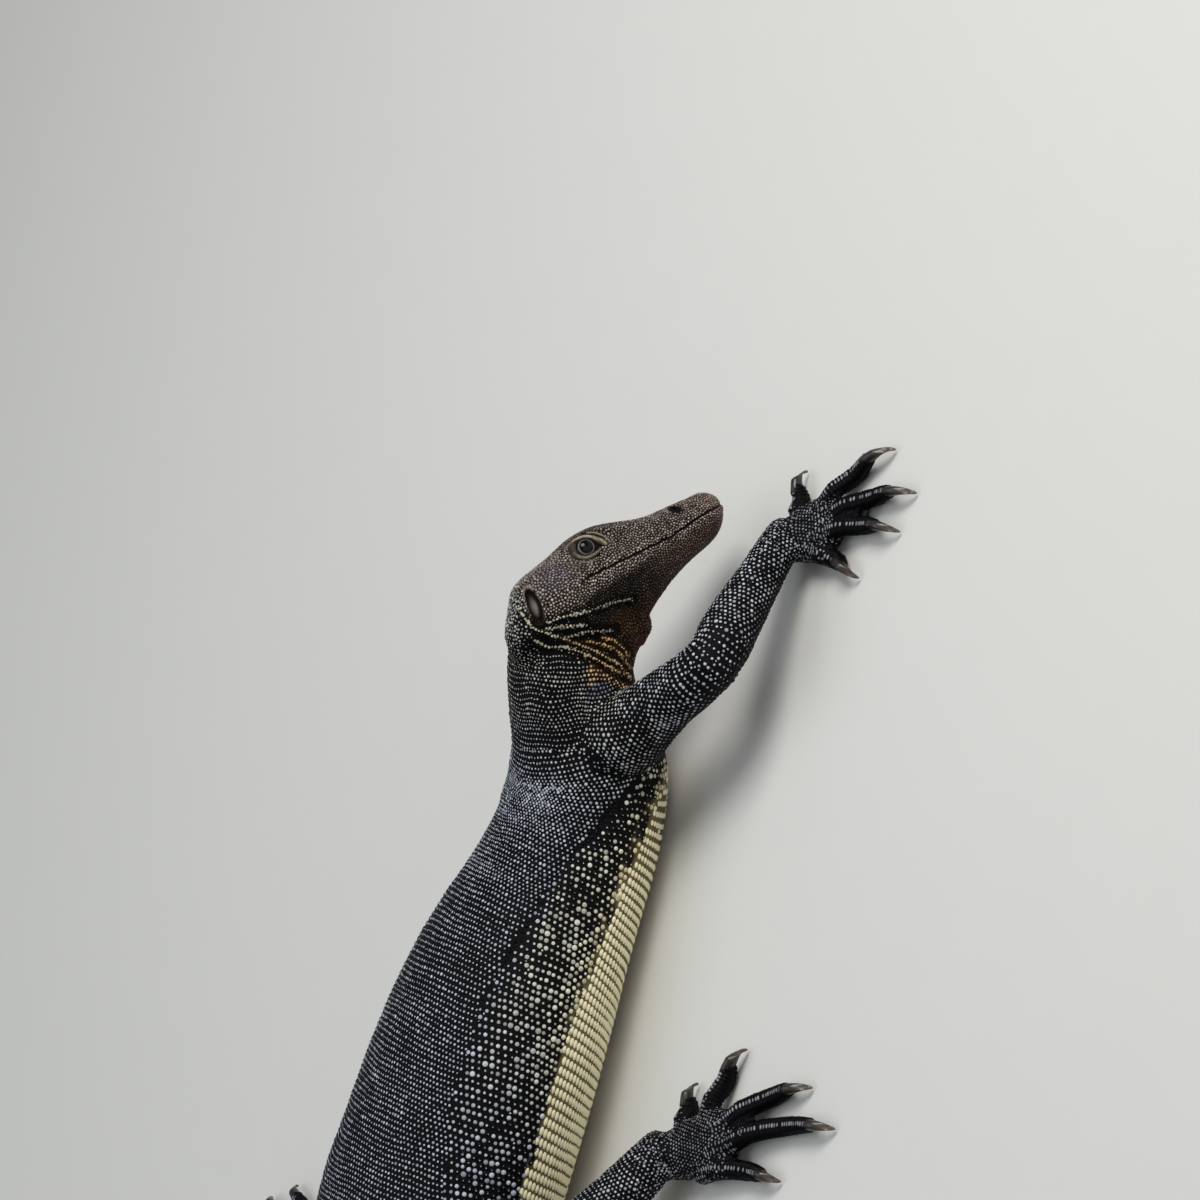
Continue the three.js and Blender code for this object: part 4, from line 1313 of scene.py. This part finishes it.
def dressHead(scales):
    # the same for the head: brown, greyer on the crown, with a paler grey patch behind the eye that is a
    # painted sheen, and pale lips and rows below it
    count = len(scales["gap"])
    q = mirroredHead(scales["place"] * mm)
    chance = dice.uniform(0, 1, count)
    over = overMouth(q)
    ground, spot = tints("snout", count), tints("snout spot", count)
    reach = 0.66 + 0.4 * (chance - 0.5) + 0.1 * patchy(scales["place"], 7.0)

    def wash(name, share, change):
        nonlocal ground, spot, reach
        share = np.clip(share, 0, 1)
        ground, spot = blend(ground, tint(name), share), blend(spot, tint(name + " spot"), share)
        reach = reach + change * share

    wash("crown", smooth(q[:, 2], 9, 15) * (1 - smooth(q[:, 0], 46, 66)), -0.05)
    # behind the eye a paler grey patch of scales: a painted sheen
    centre, wide = headMarks["temple"], headMarks["temple reach"]
    far = np.hypot((q[:, 0] - centre[0]) / wide[0], (q[:, 2] - centre[1]) / wide[1])
    wash("temple", 1.5 * bump(far, 0, 0.8), 0.06)
    wash("jaw", (1 - smooth(over, -6, -2)) * smooth(q[:, 0], 34, 62), -0.04)
    below = (1 - smooth(over + 0.06 * (40 - q[:, 0]), -8, -4)) * (1 - smooth(q[:, 0], 44, 70))
    wash("cheek", below, -0.16)
    wash("throat", (1 - smooth(q[:, 2], -26, -17)) * smooth(q[:, 0], 22, 34), 0.1)
    apart = lineDistance(q[:, (0, 2)], headMarks["stripe"])
    wash("stripe", bump(apart, 0, headMarks["stripe wide"]) * (0.6 + 0.4 * chance), 0.12)
    wash("stripe", 0.7 * (bump(np.abs(over), 1.3, 0.9) * smooth(q[:, 0], 26, 44)), 0.1)
    wash("tip", smooth(q[:, 0] - 0.6 * np.maximum(-over, 0), 82, 95), 0.0)
    dark = 1 - smooth(q[:, 0], -7, 6)
    ground, spot = blend(ground, tint("black"), dark), blend(spot, tint("neck spot"), dark)
    spot = dimmed(spot, dice.uniform(0, 1, count) ** 0.8, 0.3)
    return ground, spot, tints("head gap", count), reach


def dressThroat(scales, ground, spot, rim, reach):
    # the folds of the throat: beads along the crests, whitish behind and tan in front, dark grooves between
    q = mirroredHead(scales["place"] * mm)
    count = len(q)
    chance = dice.uniform(0, 1, count)
    crest, tan, inside, _ = throatFolds(q)
    beads = scales["bead"] > 0
    inside = np.where(beads, 1, smooth(inside, 0.2, 0.6))
    on = np.where(beads, 1, smooth(crest, 0.55, 0.9))
    front = smooth(tan, 0.15, 0.9)
    foldGround = blend(blend(tints("groove", count), tint("throat"), front * 0.5), tint("tan"), on * front)
    foldSpot = blend(tints("bead", count), tint("tan spot"), front)
    foldSpot = dimmed(foldSpot, dice.uniform(0, 1, count), 0.42)
    foldSpot = dimmed(foldSpot, 1 - (1 - front) * smooth(q[:, 0], 12, 34), 0.45)
    crestReach = 0.56 + 0.3 * on + 0.2 * (chance - 0.5)
    foldReach = np.where(on > 0.4, crestReach, np.where(chance < 0.25, 0.3, -1))
    # the front of the throat is brown, and a cream net with a grey-blue patch lies over the shoulder
    brown = smooth(q[:, 0] + 0.25 * q[:, 2], 20, 25) * (1 - smooth(q[:, 2], -28, -22)) * (q[:, 1] < 22)
    ground, spot = blend(ground, tint("throat"), brown), blend(spot, tint("throat spot"), brown)
    wide = 4 + 2.5 * smooth(q[:, 0], 18, 26)
    net = bump(lineDistance(q[:, (0, 2)], throat["net"]), 0, wide) * (q[:, 1] < 24)
    net = smooth(net + 0.5 * (chance - 0.6), 0.2, 0.6)
    ground, spot = blend(ground, tint("tan"), net * 0.7), blend(spot, tint("net"), net)
    reach = reach + 0.16 * net
    x, z = ((q[:, (0, 2)] - np.array(throat["patch"])) / np.array(throat["patch half"])).T
    patch = (1 - smooth(np.hypot(x, z) + 0.3 * (chance - 0.5), 0.75, 1.15)) * (q[:, 1] < 24)
    ground, spot = blend(ground, tint("patch"), patch), blend(spot, tint("patch spot"), patch)
    ground, spot = blend(ground, foldGround, inside), blend(spot, foldSpot, inside)
    return ground, spot, blend(rim, tint("groove"), inside), reach * (1 - inside) + foldReach * inside


# one scale: its profile from the crown out, how square a plate's outline is, and how far off the floor it is
scaleForm = {
    "sides": 8, "inset": 0.4, "profile": ((0, 1.0), (0.55, 0.8), (1, -0.3)), "square": 5, "lowest": 0.05,
}
bakeMap = {"margin": 0.015, "room": 0.97, "scale": 0.0015}  # the map's edge, what all scales share, one scale


def modelScale(box):
    # one scale, modelled once: a plate, inset and raised; box makes its outline squarer
    deselect()
    sides = scaleForm["sides"]
    bpy.ops.mesh.primitive_circle_add(vertices=sides, radius=1, fill_type="NGON",
                                      rotation=(0, 0, math.pi / sides))
    bpy.ops.object.transform_apply(rotation=True)
    bpy.ops.object.mode_set(mode="EDIT")
    bpy.ops.mesh.select_all(action="SELECT")
    bpy.ops.mesh.inset(thickness=scaleForm["inset"], depth=0.0)
    bpy.ops.mesh.poke()
    bpy.ops.object.mode_set(mode="OBJECT")
    master = bpy.context.object
    points = readPoints(master)
    radius = np.hypot(points[:, 0], points[:, 1])
    crown = radius / radius.max()
    points[:, 2] = follow(crown, scaleForm["profile"])
    angle, power = np.arctan2(points[:, 1], points[:, 0]), scaleForm["square"]
    square = (np.abs(np.cos(angle)) ** power + np.abs(np.sin(angle)) ** power) ** (-1 / power)
    points[:, :2] *= (1 + box * (square - 1))[:, None]
    faces = [list(face.vertices) for face in master.data.polygons]
    bpy.data.objects.remove(master)
    return points, crown, faces


def makeScales(name, scales, ground, spot, rim, reach):
    # one mesh for a stretch of the coat: the master scale copied to every place
    beads, crown, faces = modelScale(0.0)
    boxes = modelScale(1.0)[0]
    count, corners = len(scales["gap"]), len(beads)
    shape = beads[None] + (boxes - beads)[None] * scales["box"][:, None, None]
    normal = scales["normal"]
    along = unit(scales["along"] - (scales["along"] * normal).sum(1, keepdims=True) * normal)
    across = np.cross(normal, along)
    points = (
        scales["place"][:, None]
        + along[:, None] * (shape[..., 0:1] * scales["half"][:, None, 0:1])
        + across[:, None] * (shape[..., 1:2] * scales["half"][:, None, 1:2])
        + normal[:, None] * (shape[..., 2:3] * scales["height"][:, None, None])
    ).reshape(-1, 3)
    points[:, 2] = np.maximum(points[:, 2], scaleForm["lowest"])
    starts = np.arange(count)[:, None] * corners
    loops = (starts + np.concatenate(faces)[None]).ravel()
    sizes = np.tile([len(face) for face in faces], count)
    mesh = bpy.data.meshes.new(name)
    mesh.vertices.add(count * corners)
    mesh.loops.add(len(loops))
    mesh.polygons.add(len(sizes))
    mesh.vertices.foreach_set("co", (points * mm).astype(np.float32).ravel())
    mesh.loops.foreach_set("vertex_index", loops.astype(np.int32))
    mesh.polygons.foreach_set("loop_start", np.concatenate([[0], np.cumsum(sizes)[:-1]]).astype(np.int32))
    mesh.polygons.foreach_set("use_smooth", np.ones(len(sizes), bool))
    mesh.update(calc_edges=True)
    piece = bpy.data.objects.new(name, mesh)
    bpy.context.scene.collection.objects.link(piece)
    addNumber(piece, "crown", np.tile(crown, count))
    addNumber(piece, "spotReach", np.repeat(reach, corners))
    for layer, colour in (("ground", ground), ("spot", spot), ("rim", rim)):
        addColour(piece, layer, np.repeat(colour, corners, axis=0))
    # each scale's patch lies where its root is on the coat unrolled: along the body, and round it
    cell = np.column_stack([scales["share"], scales["girth"] / 360 + 0.5])
    low, high = cell.min(0), cell.max(0)
    cell = bakeMap["margin"] + bakeMap["room"] * (cell - low) / np.maximum(high - low, 1e-6)
    flat = (cell[:, None] + shape[..., :2] * bakeMap["scale"]).reshape(-1, 2)
    mesh.uv_layers.new(name="OFBake").data.foreach_set("uv", flat[loops].astype(np.float32).ravel())
    return piece


def dressCoat(coat, paint):
    for region, scales in coat.regions.items():
        look = dressHead(scales) if region == "head" else dressBody(scales, region)
        if region in ("head", "neck"):
            look = dressThroat(scales, *look)
        scales["look"] = look
        girth = scales["girth"]
        halves = {"_left": girth >= 0, "_right": girth < 0}
        if region in limbLines:
            halves = {"": np.ones(len(girth), bool)}
        for half, picked in halves.items():
            part = {key: value[picked] for key, value in scales.items() if key != "look"}
            piece = makeScales("scales_" + region + half, part, *(values[picked] for values in look))
            piece.data.materials.append(paint)
            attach(piece, "root")
            print(piece.name, picked.sum(), "scales")


def paintSkin(skin, coat):
    # the skin takes each nearest scale's colour, darker, and its own colours on lids, ears and lips; the
    # ear's pit, the mouth line and the nostril are painted dark as painted shade, and the ear's drum paler
    # low down as a painted highlight
    mean = []
    for region, scales in coat.regions.items():
        ground, _, rim, _ = scales["look"]
        mean.append(blend(rim, ground, np.full(len(rim), 0.4 if region == "head" else 0.18)))
    tree, mean = treeOf(coat.whole("place")), np.vstack(mean)
    points = readPoints(skin) / mm
    ground = mean[[tree.find(point)[1] for point in points]]
    near, q = nearHead(points * mm), mirroredHead(points * mm)

    def wash(colour, where, share):
        nonlocal ground
        ground = blend(ground, colour, np.where(where, share, 0))

    a, b, _, ring, _ = eyeSpace(q)
    lids = tints("lid dark", len(q))
    for fold in eye["folds"]:
        crest = np.clip(lidFold(a, b, ring, fold) * 1.25 - 0.15, 0, 1)
        lids = blend(lids, tint("lid"), crest * fold["pale"])
    lids = blend(lids, tint("lid corner"), 0.75 * smooth(-a, 3.6, 5.2))
    lids = lids * (0.85 + 0.35 * patchy(points, 1.3))[:, None]
    corner = smooth(a, 0, 0.8) * smooth(b, 0.3, 0.8) * (1 - smooth(ring, 2.3, 2.5))
    crests = smooth(lidCrests(a, b, ring), 0.25, 0.5)
    wash(lids, near & (q[:, 1] > 8), np.max([1 - smooth(ring, 1.7, 1.95), crests, corner], axis=0))
    share = ovalSpace(q, ear)
    onEar = near & (q[:, 1] > 9)
    # the ear's pit painted dark: painted shade in its hollow; its drum grey, partly its own colour and partly
    # a painted highlight, so paler low in the ear
    wash(tint("lid dark"), onEar, 1 - smooth(share, 1.0, 1.12))
    lowInEar = 1 - smooth(q[:, 2], ear["centre"][2] - 1, ear["centre"][2] + 4)
    wash(tint("drum"), onEar, (1 - smooth(share, 0.3, 0.7)) * (0.3 + 0.7 * lowInEar))
    rimHere = bump(share, 1.15, 0.1) * smooth(q[:, 0] + 0.6 * q[:, 2], -6, 0) * (0.75 + patchy(points, 1.6))
    wash(tint("ear rim"), onEar, rimHere * 0.9)
    # the mouth line and the nostril painted near-black: painted shade in the crease between the lips and in
    # the nostril's hollow
    wash(tint("mouth"), near, bump(overMouth(q), 0, 0.5) * smooth(q[:, 0], 20, 26))
    wash(tint("mouth"), near & (q[:, 1] > 3), 1 - smooth(ovalSpace(q, nostril), 0.7, 1.05))
    addColour(skin, "ground", ground)


# eyes
eyeLook = {
    # how far from the middle the ring begins and over what width, where it ends, and how uneven both are
    "core": (2.85, 0.55), "edge": (3.25, 3.7), "waver": 0.35,
    "bulge": 0.5, "cornea": 4.6, "coat": 0.26, "coat rough": 0.04, "gloss": 0.08, "grain": 2200.0,
    "pupil": (9, 10, 15), "ring": ((96, 92, 98), (150, 146, 152)), "outside": (15, 12, 12),
}


def eyePaint():
    # a dark pupil with a thin grey ring round it, dark again to the lids
    look = eyeLook
    paint = Paint("eye_paint", **{"Coat Weight": look["coat"], "Coat Roughness": look["coat rough"],
                                  "Specular IOR Level": look["gloss"]})
    flecks = paint.noise(look["grain"])
    uneven = paint.attribute("gaze") + (flecks - 0.5) * look["waver"]
    core = ((uneven - look["core"][0]) / look["core"][1]).clipped()
    first, last = look["edge"]
    edge = ((uneven - first) / (last - first)).clipped()
    ring = paint.mix(flecks, *(opaque(*colour) for colour in look["ring"]))
    shade = paint.mix(core, opaque(*look["pupil"]), ring)
    shade = paint.mix(edge, shade, opaque(*look["outside"]))
    return paint.finish(shade, 0.07 + flecks * 0.03, flecks, 0.00001)


def makeEye(side, paint):
    deselect()
    bpy.ops.mesh.primitive_uv_sphere_add(segments=48, ring_count=32, radius=eye["radius"] * mm)
    ball = bpy.context.object
    ball.name = "eyeball_" + side
    points = readPoints(ball) / mm
    around = np.hypot(points[:, 0], points[:, 1])
    front = points[:, 2] > 0
    bulge = eyeLook["bulge"] * np.maximum(1 - (around / eyeLook["cornea"]) ** 2, 0)
    points[:, 2] += np.where(front, bulge, 0)
    gaze = np.where(front, around, 9.0)
    flip = (1, -1, 1) if side == "right" else (1, 1, 1)
    turn = np.array(Vector((0, 0, 1)).rotation_difference(Vector(eyeGaze * flip)).to_matrix())
    writePoints(ball, fromHead(points @ turn.T + np.array(eye["centre"]) * flip))
    bpy.ops.object.shade_smooth()
    addNumber(ball, "gaze", gaze)
    ball.data.materials.append(paint)
    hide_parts("eye_" + side)
    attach(ball, "root")


# claws
clawForm = {
    "hook": 96, "rise": 16,  # degrees: how far the claw bends, and how steeply it leaves the toe
    "thick": 0.6, "buried": 5.0, "above floor": (1.1, 0.3),  # the point's middle, and its underside
    "sides": 12, "rings": 16, "ring": 0.16,
    "coat": 0.25, "coat rough": 0.2, "grain": 1400.0,
    "horn": ((20, 17, 16), (42, 35, 31)), "tip": (128, 114, 98),
}


def clawPaint():
    # dark horn, paler towards the point
    look = clawForm
    paint = Paint("claw_paint", **{"Coat Weight": look["coat"], "Coat Roughness": look["coat rough"]})
    tip = paint.attribute("tipness")
    streak = paint.noise(look["grain"])
    horn = paint.mix(streak, *(opaque(*colour) for colour in look["horn"]))
    shade = paint.mix(tip * tip * 0.6, horn, opaque(*look["tip"]))
    return paint.finish(shade, 0.3 + streak * 0.12, streak, 0.0001)


def modelClaw():
    # one claw, modelled once: a ring spun along its hook, then slimmed to a point; 1 long, turned to +X
    deselect()
    bpy.ops.mesh.primitive_circle_add(vertices=clawForm["sides"], radius=clawForm["ring"], fill_type="NGON",
                                      location=(0, 0, 0), rotation=(0, math.pi / 2, 0))
    claw = bpy.context.object
    bpy.ops.object.transform_apply(location=True, rotation=True)
    bpy.ops.object.mode_set(mode="EDIT")
    bpy.ops.mesh.select_all(action="SELECT")
    hook = math.radians(clawForm["hook"])
    bpy.ops.mesh.spin(steps=clawForm["rings"], angle=-hook, center=(0, 0, -1 / hook), axis=(0, 1, 0))
    bpy.ops.mesh.select_all(action="SELECT")
    bpy.ops.mesh.remove_doubles(threshold=0.0001)
    bpy.ops.mesh.normals_make_consistent(inside=False)
    bpy.ops.object.mode_set(mode="OBJECT")
    return claw


def shapeClaw(points, length, radius, drop):
    # the straight share along the hook, and the ring's middle there, give the taper and the droop
    hook, rise = math.radians(clawForm["hook"]), math.radians(clawForm["rise"])
    reach = length / hook
    fall = drop / (reach * (math.cos(rise) - math.cos(rise - hook)))
    share = np.clip(np.arctan2(points[:, 0], points[:, 2] + 1 / hook) / hook, 0, 1)
    off = np.hypot(points[:, 0], points[:, 2] + 1 / hook) - 1 / hook
    bend = rise - hook * share
    slim = (1 - share) ** 0.62
    thick = radius * clawForm["thick"] / clawForm["ring"]
    tall, wide = thick * (0.06 + 1.0 * slim), thick * (0.05 + 0.8 * slim)
    x = reach * (math.sin(rise) - np.sin(bend)) + np.sin(bend) * off * tall
    z = reach * (np.cos(bend) - math.cos(rise)) * fall + np.cos(bend) * off * tall
    # the claw's first ring is drawn back into the toe
    x -= clawForm["buried"] * (1 - smooth(share, 0, 0.12))
    return x, points[:, 1] * wide, z, share


def makeClaws(paint):
    above, lowest = clawForm["above floor"]
    for name, limb in limbLines.items():
        kind, side = name.split("_")
        size = palms[kind]
        for index, digit in enumerate(size["digits"]):
            claw = modelClaw()
            node = f"{size['claw']}_{side}_{index + 1}"
            claw.name = node + "_horn"
            _, heading, tip = digitLine(limb, size, digit)
            x, y, z, share = shapeClaw(readPoints(claw), digit[2], size["radius"], size["tip"] - above)
            c, s = math.cos(heading), math.sin(heading)
            place = np.column_stack([x * c - y * s, x * s + y * c, z]) + tip
            place[:, 2] = np.maximum(place[:, 2], lowest)
            writePoints(claw, place * mm)
            addNumber(claw, "tipness", share)
            choose(claw)
            bpy.ops.object.shade_smooth()
            claw.data.materials.append(paint)
            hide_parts(node)
            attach(claw, "root")


skin = makeSkin()
skin.data.materials.append(skinPaint())
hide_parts(*flesh)
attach(skin, "root")

coat = Coat(skin)
layFolds(coat)
layHead(coat)
layTrunk(coat)
for limbName in limbLines:
    layLimb(coat, limbName)
coat.gather()
print("scales laid", {region: len(scales["gap"]) for region, scales in coat.regions.items()})
thinOut(coat)
fillHoles(coat)
dressCoat(coat, scalePaint())
paintSkin(skin, coat)
print("coat done")

eyeMaterial, clawMaterial = eyePaint(), clawPaint()
for side in ("right", "left"):
    makeEye(side, eyeMaterial)
makeClaws(clawMaterial)
print("eyes and claws done")

addCamera()
addStudio()
addFloor()
